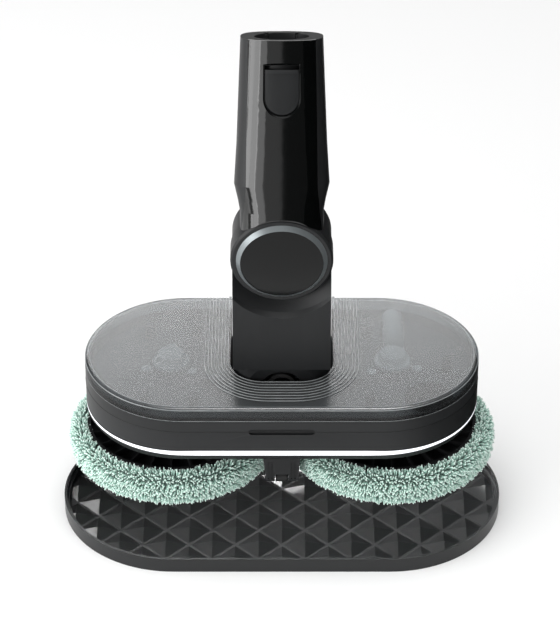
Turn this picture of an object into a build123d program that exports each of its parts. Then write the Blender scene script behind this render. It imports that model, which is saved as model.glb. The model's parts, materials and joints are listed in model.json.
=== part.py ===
"""Twin spinning-pad floor scrubber head with a clip-on water tank, hovering over its storage tray.

Millimetres, +Z up, front at -Y. Origin: centre of the tray's underside.
Each sub-part is written to parts/NODE.step.
"""
from build123d import *
from math import acos, cos, pi, radians, sin, sqrt, tan
import os

# ---------------------------------------------------------------- storage tray
tray_length = 320.0
tray_depth = 166.0
tray_rim_height = 11.2
tray_floor_top = 2.4
tray_wall = 2.0
tray_ledge_width = 1.8
tray_ledge_height = 7.6
stud_pitch = 33.5            # diagonal of the square studs, turned 45 degrees
stud_height = 3.2
stud_valley = 0.9
stud_row_offset_y = -4.7
foot_radius = 8.0
foot_thickness = 1.0

# ---------------------------------------------------------------- head levels
pad_bottom = 50.5
pile_top = 65.7
backing_top = 67.7
plate_top = 76.0
skirt_bottom = 89.3
led_bottom = 94.1
led_top = 98.8
deck_top = 114.5
tank_seam = 123.7
lid_top = 134.1

# ---------------------------------------------------------------- head outline
body_length = 281.0
body_depth = 142.4
skirt_inset = 3.0
shell_wall = 2.4
tank_wall = 2.2
lid_fillet = 2.6
rear_gap_half = 46.0         # the light bar stops here at the back

# ---------------------------------------------------------------- neck notch
notch_half = 36.6
notch_front = -37.0
notch_corner = 24.0
notch_floor_top = 99.2
notch_floor_thickness = 1.8
rib_count = 8
rib_pitch_side = 2.35
rib_pitch_front = 3.3
rib_width = 0.7
rib_height = 0.35

# ---------------------------------------------------------------- spinning pads
pad_centre_x = 78.5
pad_radius = 75.0
plate_radius = 62.0
backing_radius = 64.0
plate_spokes = 24
spindle_radius = 4.0
hub_radius = 13.0
bearing_radius = 11.0
running_gap = 0.05

# ---------------------------------------------------------------- gears
gear_module = 1.25
gear_teeth = 45
pinion_teeth = 15
pressure_angle = 25.0
gear_backlash = 0.16
gear_low = 93.2
gear_high = 98.2
gear_distance = gear_module * (gear_teeth + pinion_teeth) / 2
motor_radius = 14.5
motor_shaft_radius = 1.5
gearbox_low = 99.0
gearbox_high = 101.0
motor_top = 111.6

# ---------------------------------------------------------------- support roller
roller_radius = 4.0
roller_half_width = 4.4
roller_y = -46.0
roller_clear = 3.5           # height of the roller above the pads' worn face
roller_z = pad_bottom + roller_clear + roller_radius
fork_bottom = 56.0
fork_top_half = 14.0
fork_bottom_half = 11.5
fork_front = -51.5
fork_back = -40.5

# ---------------------------------------------------------------- neck
pivot_y = 4.0
pivot_z = 108.5
pivot_pin_radius = 3.0
neck_half = 34.2
neck_front = -34.5
neck_wall = 2.4
neck_crease_z = 142.0
neck_barrel_radius = 8.5
neck_split_y = -15.0
arch_z = 125.5
arch_radius = 14.0
grommet_radius = 10.0

# ---------------------------------------------------------------- swivel joint
swivel_y = -38.0
swivel_z = 233.3
swivel_droop = 7.0           # degrees that the swivel axis points below the horizon
disc_radius = 35.3
disc_front = 1.5             # depths are measured back from the trim ring's plane
disc_back = 17.0
seat_radius = 37.2
seat_depth = 17.3
band_radius = 45.5
band_depth = 7.0
barrel_radius = 34.3
barrel_back = 36.0
hub_shaft_radius = 12.0
ring_outer = 31.4
ring_inner = 28.5

# ---------------------------------------------------------------- upper tube
hub_depth = 15.0
tube_lean = 21.0
tube_length = 146.7
# station along the tube, half width, front depth, back depth
tube_stations = [
    (4.0, 28.7, 29.4, 16.0),
    (29.0, 28.7, 29.0, 19.0),
    (37.0, 30.2, 28.8, 20.5),
    (47.0, 32.6, 28.5, 22.5),
    (75.0, 30.9, 27.9, 24.5),
    (tube_length, 28.05, 27.0, 27.0),
]
tube_exponent = 2.7
plate_skin = 1.6
tube_wall = 3.4
tube_split = 2.0
socket_radius = 18.7
socket_offset = -1.5
socket_wall = 2.4
socket_length = 60.0
contact_radius = 1.55
contact_reach = 20.3         # from the bore's axis to each contact post
contact_groove = 2.1
contact_x = 11.0

# ---------------------------------------------------------------- latch
latch_low = 96.8
latch_high = 127.0
latch_half = 11.3
latch_window_high = 129.6
latch_gap = 0.45
bezel_low = 90.0
bezel_high = 134.4
bezel_half = 16.3

# ---------------------------------------------------------------- tank fittings
filler_x = 104.0
filler_y = -34.0
filler_radius = 17.0
port_x = 80.0
port_y = 47.0


# ================================================================ helpers
def slab(sketch, low, high):
    """A flat sketch given a thickness between two heights."""
    return extrude(Plane.XY.offset(low) * sketch, high - low)


def block(x0, x1, y0, y1, z0, z1):
    """A box between two corners."""
    centre = Pos((x0 + x1) / 2, (y0 + y1) / 2, (z0 + z1) / 2)
    return centre * Box(x1 - x0, y1 - y0, z1 - z0)


def rod(x, y, low, high, radius):
    """An upright round rod."""
    return Pos(x, y, (low + high) / 2) * Cylinder(radius, high - low)


def cross_rod(x0, x1, y, z, radius):
    """A round rod along X."""
    return Pos((x0 + x1) / 2, y, z) * Rot(0, 90, 0) * Cylinder(radius, x1 - x0)


def outline(inset=0.0):
    """The head's outline: two half circles joined by straight sides."""
    return SlotOverall(body_length - 2 * inset, body_depth - 2 * inset)


def tray_outline(inset=0.0):
    """The tray's outline."""
    return SlotOverall(tray_length - 2 * inset, tray_depth - 2 * inset)


def notch(side=0.0, front=None, back=body_depth):
    """The U-shaped outline round the neck, open at the back."""
    grow = side if front is None else front
    half = notch_half + side
    low = notch_front - grow
    corner = notch_corner + (side + grow) / 2
    body = Pos(0, (low + back) / 2) * Rectangle(2 * half, back - low)
    front_corners = body.vertices().group_by(Axis.Y)[0]
    return fillet(front_corners, corner)


def ring_of(outer, inner, low, high):
    """The wall between two outlines."""
    return slab(outer, low, high) - slab(inner, low, high)


def mirrored(part):
    """A part and its mirror image across the YZ plane."""
    return part + mirror(part, Plane.YZ)


def swivel_plane(depth=0.0):
    """A plane square to the swivel axis, depth mm behind the trim ring; its Z points forward."""
    tilt = radians(swivel_droop)
    forward = Vector(0, -cos(tilt), -sin(tilt))
    centre = Vector(0, swivel_y, swivel_z) - forward * depth
    return Plane(origin=centre, x_dir=(1, 0, 0), z_dir=forward)


def swivel_disc(radius, front, back):
    """A disc on the swivel axis between two depths."""
    return extrude(swivel_plane(back) * Circle(radius), back - front)


def swivel_turned(points):
    """A turned part on the swivel axis from (radius, depth) points."""
    base = swivel_plane()
    section = Plane(origin=base.origin, x_dir=base.x_dir, z_dir=base.y_dir)
    profile = section * make_face(Polyline([(r, depth) for r, depth in points], close=True))
    return revolve(profile, Axis(base.origin, base.z_dir), 360)


def tube_plane(station=0.0):
    """A plane square to the upper tube; its Y points to the back of the tube."""
    hub = swivel_plane(hub_depth).origin
    lean = radians(tube_lean)
    up = Vector(0, sin(lean), cos(lean))
    return Plane(origin=hub + up * station, x_dir=(1, 0, 0), z_dir=up)


def tube_section(half, front, back, inset):
    """The tube's rounded outline at one station."""
    middle = (back - front) / 2
    a = half - inset
    b = (front + back) / 2 - inset
    power = 2 / tube_exponent
    points = []
    steps = 24
    for i in range(steps):
        c = cos(2 * pi * i / steps)
        s = sin(2 * pi * i / steps)
        x = a * abs(c) ** power * (1 if c >= 0 else -1)
        y = b * abs(s) ** power * (1 if s >= 0 else -1)
        points.append((x, y + middle))
    return make_face(Spline(points, periodic=True))


def tube_form(inset=0.0):
    """The upper tube as a solid, shrunk by inset."""
    sections = []
    for station, half, front, back in tube_stations:
        sections.append(tube_plane(station) * tube_section(half, front, back, inset))
    return loft(sections, ruled=True)


def tube_front_prism(points, near, far):
    """A prism seen square to the tube's front: (x, station) points, between two depths."""
    base = tube_plane()
    view = Plane(origin=base.origin + base.y_dir * far, x_dir=(1, 0, 0), z_dir=-base.y_dir)
    return extrude(view * make_face(Polyline(points, close=True)), far - near)


def latch_shape(half, low, high, grow=0.0):
    """A D-shaped outline, square at the top and half round below, in (x, station)."""
    h = half + grow
    lo = low - grow
    hi = high + grow
    top = Line((-h, hi), (h, hi))
    right = Line((h, hi), (h, lo + h))
    arc = ThreePointArc((h, lo + h), (0, lo), (-h, lo + h))
    left = Line((-h, lo + h), (-h, hi))
    return make_face([top, right, arc, left])


def latch_prism(half, low, high, near, far, grow=0.0, taper=0.0):
    """The latch outline as a prism square to the tube's front."""
    base = tube_plane()
    view = Plane(origin=base.origin + base.y_dir * far, x_dir=(1, 0, 0), z_dir=-base.y_dir)
    return extrude(view * latch_shape(half, low, high, grow), far - near, taper=taper)


def gear_face(teeth, backlash, phase=0.0):
    """A spur gear's outline with involute flanks."""
    pitch_r = gear_module * teeth / 2
    base_r = pitch_r * cos(radians(pressure_angle))
    root_r = pitch_r - 1.3 * gear_module
    tip_r = pitch_r + 0.95 * gear_module
    half_tooth = pi / (2 * teeth) - backlash / (2 * pitch_r)

    def involute(radius):
        angle = acos(base_r / radius)
        return tan(angle) - angle

    flank = []
    start_r = max(base_r, root_r)
    steps = 4
    for i in range(steps + 1):
        radius = start_r + (tip_r - start_r) * i / steps
        lag = involute(pitch_r) - involute(max(radius, base_r))
        flank.append((radius, half_tooth + lag))
    points = []
    for tooth in range(teeth):
        middle = phase + 2 * pi * tooth / teeth
        one_side = [(root_r, flank[0][1])] if root_r < start_r else []
        one_side += flank
        for radius, offset in one_side:
            points.append((radius * cos(middle - offset), radius * sin(middle - offset)))
        for radius, offset in reversed(one_side):
            points.append((radius * cos(middle + offset), radius * sin(middle + offset)))
    return make_face(Polyline(points, close=True))


# ================================================================ tray
def make_storage_tray():
    """A moulded tray: flat underside, faceted floor, stepped rim."""
    inner = tray_wall + tray_ledge_width
    shell = slab(tray_outline(), 0, tray_rim_height)
    shell -= slab(tray_outline(tray_wall), tray_ledge_height, tray_rim_height + 1)
    shell -= slab(tray_outline(inner), tray_floor_top, tray_rim_height + 1)
    studs = []
    row_step = stud_pitch / 2
    side = (stud_pitch - stud_valley) / sqrt(2)
    rows = int(tray_depth / row_step / 2) + 1
    columns = int(tray_length / stud_pitch / 2) + 1
    base = tray_floor_top - 0.2
    foot = Rot(0, 0, 45) * Rectangle(side, side)
    tip = Rot(0, 0, 45) * Rectangle(0.3, 0.3)
    for row in range(-rows, rows + 1):
        shift = (row % 2) * stud_pitch / 2
        for column in range(-columns, columns + 1):
            x = column * stud_pitch + shift
            y = row * row_step + stud_row_offset_y
            if abs(x) > tray_length / 2 or abs(y) > tray_depth / 2:
                continue
            low = Pos(x, y, base) * foot
            high = Pos(x, y, tray_floor_top + stud_height) * tip
            studs.append(loft([low, high]))
    keep = slab(tray_outline(inner), base, tray_rim_height)
    clipped = [stud & keep for stud in studs]
    shell += [stud for stud in clipped if stud is not None and stud.volume > 1.0]
    for x, y in foot_places():
        shell -= rod(x, y, 0, foot_thickness, foot_radius)
    return shell


def foot_places():
    """The six feet under the tray."""
    return [(x, y) for x in (-100, 0, 100) for y in (-62, 62)]


def make_tray_feet():
    """Thin rubber feet set flush into the tray's underside."""
    return Compound([rod(x, y, 0, foot_thickness, foot_radius) for x, y in foot_places()])


# ================================================================ head
def make_base_upper_shell():
    """The head's upper casing: side wall, deck, and the channel the neck folds into."""
    shell = slab(outline(), led_top, deck_top)
    shell -= slab(outline(shell_wall), led_top, deck_top - shell_wall)
    channel_low = notch_floor_top - notch_floor_thickness
    shell += slab(notch(2.2), channel_low, deck_top) & slab(outline(), channel_low, deck_top)
    rear = ring_of(outline(), outline(shell_wall), led_bottom, led_top)
    shell += rear & block(-rear_gap_half, rear_gap_half, 0, body_depth, led_bottom, led_top)
    boss = block(39.5, 54.5, -16, 26, deck_top - 1, deck_top + 6)
    boss_hollow = block(41.2, 52.8, -14.3, 24.3, deck_top - shell_wall, deck_top + 4.3)
    shell += mirrored(boss)
    shell -= mirrored(boss_hollow)
    shell -= slab(notch(), notch_floor_top, deck_top + 1)
    shell -= cross_rod(-60, 60, pivot_y, pivot_z, pivot_pin_radius)
    shell -= rod(port_x, port_y, 100, deck_top + 1, 5.0)
    shell -= finger_recess()
    return shell


def finger_recess():
    """The finger slot at the front, across the joint between tank and base."""
    recess = extrude(SlotOverall(46, 4.6), 1.6, both=True)
    slot = Pos(0, -body_depth / 2, deck_top) * Rot(90, 0, 0) * recess
    return slot


def make_base_bottom_cover():
    """The tapered bottom cover under the light bar."""
    top = Plane.XY.offset(led_bottom) * outline()
    bottom = Plane.XY.offset(skirt_bottom) * outline(skirt_inset)
    cover = loft([bottom, top])
    cover -= slab(outline(skirt_inset + 2.6), skirt_bottom + shell_wall, led_bottom)
    for side in (-1, 1):
        cover -= rod(side * pad_centre_x, 0, skirt_bottom, led_bottom, bearing_radius)
        for x, y in nozzle_places(side):
            cover -= rod(x, y, skirt_bottom, led_bottom, 2.5)
    return cover


def nozzle_places(side):
    """Where one pad's drip nozzle passes the bottom cover."""
    return [(side * 56.0, -28.0)]


def rear_gap(low, high):
    """The space at the back where the light bar stops."""
    return block(-rear_gap_half, rear_gap_half, 0, body_depth, low, high)


def make_led_light_bar():
    """The white diffuser round the head."""
    bar = ring_of(outline(), outline(3.6), led_bottom, led_top)
    return bar - rear_gap(led_bottom, led_top)


def make_led_board():
    """The light strip's board, behind the diffuser."""
    strip = ring_of(outline(3.6), outline(4.6), led_bottom + 0.4, led_top - 0.4)
    return strip - rear_gap(led_bottom, led_top)


def make_control_board():
    """The circuit board at the front, with its chips and plugs."""
    floor = skirt_bottom + shell_wall
    board = block(-36, 36, -62, -44, floor + 1.4, floor + 3.0)
    for x in (-24, -8, 10, 25):
        board += block(x - 4, x + 4, -57, -49, floor + 3.0, floor + 5.2)
    for x in (-31, 31):
        board += block(x - 3, x + 3, -61, -55, floor, floor + 1.4)
    return board


def pinion_place(side):
    """The pinion's centre for one side."""
    return (side * (pad_centre_x + gear_distance), 0.0)


def make_motor(side):
    """A flat motor standing on the gearbox plate."""
    x, y = pinion_place(side)
    motor = rod(x, y, gearbox_high, motor_top, motor_radius)
    motor = fillet(motor.edges().group_by(Axis.Z)[-1], 1.5)
    motor -= rod(x, y, gearbox_high, motor_top - 2, motor_shaft_radius + running_gap)
    return motor


def make_gearbox_plate(side):
    """The plate over one gear pair, carrying the motor."""
    x, y = pinion_place(side)
    near = side * pad_centre_x
    plate = rod(near, 0, gearbox_low, gearbox_high, 16)
    plate += rod(x, y, gearbox_low, gearbox_high, motor_radius)
    plate += block(min(near, x), max(near, x), -11, 11, gearbox_low, gearbox_high)
    for post_y in (-29, 29):
        post_x = side * (pad_centre_x + 26)
        plate += rod(post_x, post_y, skirt_bottom + shell_wall, gearbox_high, 3.2)
        low_y, high_y = sorted((0, post_y))
        plate += block(post_x - 4, post_x + 4, low_y, high_y, gearbox_low, gearbox_high)
    plate -= rod(near, 0, gearbox_low, gearbox_high, spindle_radius + running_gap)
    plate -= rod(x, y, gearbox_low, gearbox_high, motor_shaft_radius + running_gap)
    return plate


def make_spindle_bearing(side):
    """The bearing that carries one spindle in the bottom cover."""
    x = side * pad_centre_x
    bearing = rod(x, 0, skirt_bottom, skirt_bottom + 3.4, bearing_radius)
    bearing -= rod(x, 0, skirt_bottom, skirt_bottom + 3.4, spindle_radius + running_gap)
    for low in (skirt_bottom, skirt_bottom + 2.9):
        bearing -= rod(x, 0, low, low + 0.5, 9.0) - rod(x, 0, low, low + 0.5, 6.0)
    return bearing


def make_water_pump():
    """The small pump that feeds the drip nozzles."""
    pump = block(44, 70, -62, -42, 92.2, 108)
    pump = fillet(pump.edges().filter_by(Axis.Z), 3)
    pump += cross_rod(40, 44, -50, 100, 2.2)
    for x, z in ((60, 105), (50, 97.5)):
        pump += Pos(x, -40, z) * Rot(90, 0, 0) * Cylinder(2.2, 4)
    return pump


def make_pump_hoses():
    """Water hoses: from the tank port to the pump, and from the pump to each nozzle."""
    section = 2.0
    nozzle_top = skirt_bottom + 4
    feed = [(port_x - 8, port_y, 105), (60, port_y, 105), (60, -38, 105)]
    right = [(50, -38, 97.5), (50, -33, 97.5), (56, -28, 97.5), (56, -28, nozzle_top)]
    left = [(40, -50, 100), (34, -50, 100), (34, -41.8, 97.5), (-56, -41.8, 97.5), (-56, -28, 97.5),
            (-56, -28, nozzle_top)]
    hoses = []
    for route, radius in ((feed, 9), (right, 1.6), (left, 2.6)):
        path = FilletPolyline(*route, radius=radius)
        start = Plane(origin=path @ 0, z_dir=path % 0)
        hoses.append(sweep(start * Circle(section), path=path))
    return Compound(hoses)


def make_drip_nozzles():
    """One nozzle over each pad plate."""
    nozzles = []
    for side in (-1, 1):
        for x, y in nozzle_places(side):
            body = rod(x, y, skirt_bottom - 3, skirt_bottom + 4, 2.5)
            body -= rod(x, y, skirt_bottom - 3, skirt_bottom + 4, 0.9)
            nozzles.append(body)
    return Compound(nozzles)


def make_tank_inlet():
    """The spigot on the deck that plugs into the tank's valve."""
    spigot = rod(port_x, port_y, 104, deck_top + 5, 5.0)
    spigot += cross_rod(port_x - 8, port_x, port_y, 105, 2.2)
    spigot -= rod(port_x, port_y, 106, deck_top + 5, 3.4)
    return spigot


def make_pivot_brackets():
    """The two bearing blocks for the neck's pivot pin."""
    foot = skirt_bottom + shell_wall
    bracket = block(notch_half + 2.4, 47.4, pivot_y - 12, pivot_y + 12, foot, 111.9)
    bracket = fillet(bracket.edges().filter_by(Axis.X).group_by(Axis.Z)[-1], 6)
    bracket -= cross_rod(0, 60, pivot_y, pivot_z, pivot_pin_radius)
    return Compound([bracket, mirror(bracket, Plane.YZ)])


def make_pivot_pin():
    """The steel pin that the neck tilts on."""
    return cross_rod(-47.4, 47.4, pivot_y, pivot_z, pivot_pin_radius)


def make_roller_fork():
    """The leg between the pads that carries the small support roller."""
    corners = [(-fork_top_half, skirt_bottom), (fork_top_half, skirt_bottom),
               (fork_bottom_half, fork_bottom), (-fork_bottom_half, fork_bottom)]
    face = Plane.XZ.offset(-fork_back) * make_face(Polyline(corners, close=True))
    leg = extrude(face, fork_back - fork_front)
    leg = fillet(leg.edges().group_by(Axis.Z)[0].filter_by(Axis.X), 3)
    well = roller_half_width + 0.6
    well_top = roller_z + roller_radius + 1
    leg -= block(-well, well, fork_front - 1, fork_back + 1, fork_bottom - 1, well_top)
    leg -= cross_rod(-9, 9, roller_y, roller_z, 1.5)
    for x in (-9.4, -6.9, 6.9, 9.4):
        leg -= block(x - 0.5, x + 0.5, fork_front, fork_front + 0.8, fork_bottom + 3, 74)
    return leg


def make_roller_axle():
    """The roller's steel axle."""
    return cross_rod(-9, 9, roller_y, roller_z, 1.5)


def make_support_roller():
    """The small roller level with the pads."""
    wheel = cross_rod(-roller_half_width, roller_half_width, roller_y, roller_z, roller_radius)
    wheel = fillet(wheel.edges(), 1.2)
    return wheel - cross_rod(-6, 6, roller_y, roller_z, 1.5 + running_gap)


def base_screw_places():
    """Screws that hold the bottom cover."""
    return [(x, y) for x in (-104, -44, 44, 104) for y in (-50, 50)]


def make_base_screws():
    """Screws through the bottom cover."""
    screws = []
    for x, y in base_screw_places():
        head = rod(x, y, skirt_bottom + 0.6, skirt_bottom + 2.4, 2.8)
        head -= block(x - 2.0, x + 2.0, y - 0.3, y + 0.3, skirt_bottom + 0.6, skirt_bottom + 1.3)
        head -= block(x - 0.3, x + 0.3, y - 2.0, y + 2.0, skirt_bottom + 0.6, skirt_bottom + 1.3)
        screws.append(head)
    return screws


def drilled_for_screws(cover):
    """The bottom cover with its screw holes."""
    for x, y in base_screw_places():
        cover -= rod(x, y, skirt_bottom, skirt_bottom + 2.4, 2.8)
    return cover


def make_tank_catch():
    """The sprung catch behind the finger slot that holds the tank."""
    catch = block(-15, 15, -67.2, -64.8, 101, deck_top - shell_wall)
    return catch + block(-5, 5, -64.8, -61, 101, 104)


# ================================================================ spinning pads
def make_spindle(side):
    """The shaft that drives one pad."""
    x = side * pad_centre_x
    shaft = rod(x, 0, 72, gearbox_high - 0.2, spindle_radius)
    return chamfer(shaft.edges().group_by(Axis.Z)[-1], 0.6)


def make_drive_gear(side):
    """The large gear on one spindle."""
    x = side * pad_centre_x
    phase = 0.0 if side > 0 else pi
    gear = Pos(x, 0, 0) * slab(gear_face(gear_teeth, gear_backlash, phase), gear_low, gear_high)
    gear -= rod(x, 0, gear_low, gear_high, spindle_radius)
    for i in range(6):
        angle = 2 * pi * i / 6
        gear -= rod(x + 16 * cos(angle), 16 * sin(angle), gear_low, gear_high, 5.0)
    return gear


def make_pinion(side):
    """The motor's pinion and shaft, in mesh with the drive gear."""
    x, y = pinion_place(side)
    phase = pi / pinion_teeth if side < 0 else pi + pi / pinion_teeth
    face = gear_face(pinion_teeth, gear_backlash, phase)
    pinion = Pos(x, y, 0) * slab(face, gear_low - 0.3, gear_high + 0.3)
    return pinion + rod(x, y, gear_low - 0.3, motor_top - 2.4, motor_shaft_radius)


def make_pad_plate(side):
    """One pad's carrier: disc, rim, spokes and hub."""
    x = side * pad_centre_x
    plate = rod(x, 0, backing_top, backing_top + 2.2, plate_radius)
    rim = rod(x, 0, backing_top, plate_top, plate_radius)
    rim -= rod(x, 0, backing_top, plate_top, plate_radius - 2.2)
    middle_ring = rod(x, 0, backing_top, plate_top - 2, 38.8)
    middle_ring -= rod(x, 0, backing_top, plate_top - 2, 37.2)
    spokes = []
    for i in range(plate_spokes):
        spoke = Pos(x, 0, 0) * Rot(0, 0, 360 / plate_spokes * i) * block(
            hub_radius - 1, plate_radius - 1, -0.8, 0.8, backing_top + 1, plate_top - 1.6)
        spokes.append(spoke)
    plate += rim
    plate += middle_ring
    plate += spokes
    plate += rod(x, 0, backing_top, skirt_bottom - 0.8, hub_radius)
    return plate - rod(x, 0, 72, skirt_bottom, spindle_radius)


def make_pad_backing(side):
    """The woven loop backing between plate and pile."""
    x = side * pad_centre_x
    return rod(x, 0, pile_top, backing_top, backing_radius)


def make_pad_pile(side):
    """The soft microfibre pad, as a plain closed form."""
    x = side * pad_centre_x
    inner = backing_radius + 0.4
    lines = [Line((0, pad_bottom), (68, pad_bottom)),
             ThreePointArc((68, pad_bottom), (73.4, 53.6), (pad_radius, 60)),
             ThreePointArc((pad_radius, 60), (73.2, 66.4), (68, 69.6)),
             Line((68, 69.6), (inner, 69.6)),
             Line((inner, 69.6), (inner, pile_top)),
             Line((inner, pile_top), (0, pile_top)),
             Line((0, pile_top), (0, pad_bottom))]
    profile = Plane.XZ * make_face(lines)
    return Pos(x, 0, 0) * revolve(profile, Axis.Z, 360)


# ================================================================ tank
def make_tank_lower_shell():
    """The tank's dark lower half, stepped over the pivot bosses."""
    tank = slab(outline(), deck_top, tank_seam)
    tank -= slab(outline(tank_wall), deck_top + 2.0, tank_seam)
    tank += slab(notch(2.0), deck_top, tank_seam) & slab(outline(), deck_top, tank_seam)
    tank += mirrored(block(37, 57, -18.4, 28.4, deck_top, tank_seam - 0.8))
    tank -= mirrored(block(39, 55, -16.5, 26.5, deck_top, deck_top + 6.6))
    tank -= slab(notch(), deck_top - 1, tank_seam + 1)
    tank -= rod(filler_x, filler_y, deck_top, deck_top + 2, filler_radius - 3)
    tank -= rod(port_x, port_y, deck_top, deck_top + 2, 9.0)
    return tank - finger_recess()


def make_tank_cover():
    """The smoked clear lid with its fine ribs round the neck."""
    cover = slab(outline(), tank_seam, lid_top)
    cover = fillet(cover.edges().group_by(Axis.Z)[-1], lid_fillet)
    cover -= slab(outline(tank_wall), tank_seam, lid_top - tank_wall)
    cover += slab(notch(2.0), tank_seam, lid_top) & slab(outline(), tank_seam, lid_top)
    for i in range(rib_count):
        side = 1.2 + i * rib_pitch_side
        front = 1.2 + i * rib_pitch_front
        ring = slab(notch(side + rib_width, front + rib_width), lid_top, lid_top + rib_height)
        ring -= slab(notch(side, front), lid_top, lid_top + rib_height)
        cover += ring & slab(outline(lid_fillet), lid_top, lid_top + rib_height)
    return cover - slab(notch(), tank_seam - 1, lid_top + 1)


def make_tank_seal():
    """The rubber seal inside the joint between lid and tank."""
    seal = ring_of(outline(tank_wall), outline(tank_wall + 1.4), tank_seam - 1.2, tank_seam + 1.2)
    return seal - slab(notch(2.0), tank_seam - 2, tank_seam + 2)


def make_tank_valve():
    """The self-closing outlet in the tank's floor."""
    valve = rod(port_x, port_y, deck_top + 0.3, deck_top + 2, 9.0)
    valve += rod(port_x, port_y, deck_top + 2, deck_top + 13, 8.0)
    valve -= rod(port_x, port_y, deck_top, deck_top + 8, 5.4)
    for i in range(6):
        angle = 60 * i
        turned = Pos(port_x, port_y, deck_top + 9.5) * Rot(0, 0, angle)
        valve -= turned * block(6, 9, -1.2, 1.2, -1, 2.5)
    return valve


def make_tank_posts():
    """Short posts inside the tank that keep its two halves apart."""
    places = [(x, y) for x in (-96, -62, 62) for y in (-44, 44)] + [(118, 0)]
    return Compound([rod(x, y, deck_top + 2, tank_seam + 4, 3.6) for x, y in places])


def make_filler_cap():
    """The bayonet plug over the filling hole, with its ringed face."""
    cap = rod(filler_x, filler_y, deck_top + 0.4, deck_top + 2.1, filler_radius - 3.3)
    cap += rod(filler_x, filler_y, deck_top + 2.1, deck_top + 4.1, filler_radius)
    for radius in (6.0, 9.6, 13.2, 16.6):
        ridge = rod(filler_x, filler_y, deck_top + 4.1, deck_top + 4.9, radius)
        cap += ridge - rod(filler_x, filler_y, deck_top + 4.1, deck_top + 4.9, radius - 1.2)
    slot = block(filler_x - 9, filler_x + 9, filler_y - 1.2, filler_y + 1.2, deck_top, deck_top + 1.6)
    return cap - slot


# ================================================================ neck
def neck_form(inset=0.0):
    """The neck's outer form, or its hollow when shrunk by inset."""
    half = neck_half - inset
    tilt = radians(swivel_droop)
    back_y = swivel_y + barrel_back * cos(tilt)
    heel_y = pivot_y + neck_barrel_radius - inset
    toe_y = pivot_y - neck_barrel_radius + inset
    profile = [(neck_front + inset, neck_crease_z), (neck_front + inset, swivel_z),
               (back_y - inset, swivel_z + 4), (back_y - inset, 182), (heel_y, 126), (heel_y, pivot_z),
               (toe_y, pivot_z), (neck_front + 5.5 + inset, 121)]
    face = Plane.YZ.offset(-half) * make_face(Polyline(profile, close=True))
    form = extrude(face, 2 * half)
    foot = slab(notch(neck_half - notch_half - inset), 80, neck_crease_z)
    form = form & (foot + block(-60, 60, -80, 80, neck_crease_z, 300))
    form += swivel_disc(barrel_radius - inset, 4 + inset, barrel_back - inset)
    if inset == 0:
        form += cross_rod(-half, half, pivot_y, pivot_z, neck_barrel_radius)
    return form


def neck_shell():
    """The hollow neck with the seat for the swivel disc."""
    shell = neck_form() - neck_form(neck_wall)
    seat_floor = swivel_disc(barrel_radius, seat_depth, seat_depth + neck_wall)
    shell += seat_floor
    shell += seat_wall() & neck_form()
    shell -= swivel_disc(seat_radius, -20, seat_depth)
    cone_foot = band_depth + 1.5
    shell -= swivel_turned([(0, -6), (band_radius + 5, -6), (band_radius, 1.5), (seat_radius, cone_foot),
                            (0, cone_foot)])
    shell -= swivel_disc(hub_shaft_radius + 3, seat_depth - 1, barrel_back + 1)
    shell -= cross_rod(-40, 40, pivot_y, pivot_z, pivot_pin_radius + running_gap)
    arch = Plane.XZ.offset(-neck_front) * Pos(0, arch_z) * Circle(arch_radius)
    return shell - extrude(arch, 12, both=True)


def seat_wall():
    """The wall under the swivel disc's seat."""
    outer = swivel_disc(seat_radius + neck_wall + 9, 0, seat_depth + neck_wall)
    inner = swivel_disc(seat_radius, 0, seat_depth)
    below = block(-60, 60, -80, 40, 120, swivel_z)
    return (outer - inner) & below


def make_neck_front_shell():
    """The neck's front half."""
    return solids_over(neck_shell() & block(-60, 60, -80, neck_split_y, 80, 300), 50)


def make_neck_rear_shell():
    """The neck's rear half."""
    half = neck_shell() & block(-60, 60, neck_split_y, 60, 80, 300)
    return solids_over(half - neck_screw_rods(2.6, 1.8, 3), 50)


def solids_over(shape, least):
    """Only the solids larger than the given volume."""
    kept = [s for s in shape.solids() if s.volume > least]
    return kept[0] if len(kept) == 1 else Compound(kept)


def make_neck_grommet():
    """The round cable grommet in the arch at the foot of the neck."""
    face = Circle(grommet_radius) - Circle(grommet_radius - 2.6)
    return extrude(Plane.XZ.offset(-neck_front - 9) * Pos(0, arch_z) * face, 5)


def make_swivel_bush():
    """The bush that the swivel's hub turns in."""
    bush = swivel_disc(hub_shaft_radius + 3, seat_depth, barrel_back)
    return bush - swivel_disc(hub_shaft_radius + running_gap, seat_depth, barrel_back)


def neck_screw_rods(radius, deep, proud):
    """Round rods at the four screws in the back of the neck."""
    rods = []
    back_y = swivel_y + barrel_back * cos(radians(swivel_droop))
    for x in (-24, 24):
        for z in (188, 206):
            middle = Pos(x, back_y + (proud - deep) / 2, z)
            rods.append(middle * Rot(90, 0, 0) * Cylinder(radius, deep + proud))
    return rods


def make_neck_screws():
    """Screws in the back of the neck."""
    heads = []
    for head in neck_screw_rods(2.6, 1.8, -0.4):
        centre = head.center()
        face = Pos(centre.X, centre.Y + 0.7, centre.Z)
        heads.append(head - face * Box(3.8, 0.8, 0.6) - face * Box(0.6, 0.8, 3.8))
    return Compound(heads)


# ================================================================ upper tube
def beyond_disc(part):
    """The part kept clear of the swivel disc and behind the disc's face."""
    clear = part - swivel_disc(disc_radius, -30, 60)
    return clear - swivel_disc(90, -40, 1.2)


def plate_region():
    """The strip of the tube's front that the glossy plate covers."""
    edge = [(22.7, tube_length), (23.6, 100), (24.3, 47), (25.8, 30), (28.4, 8)]
    points = edge + [(-x, s) for x, s in reversed(edge)]
    return tube_front_prism(points, -40, -6)


def make_tube_front_plate(outer, skin):
    """The glossy plate down the tube's front."""
    plate = (outer - skin) & plate_region()
    plate -= latch_prism(bezel_half, bezel_low, bezel_high, -40, -6)
    return solids_over(beyond_disc(plate), 50)


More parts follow.
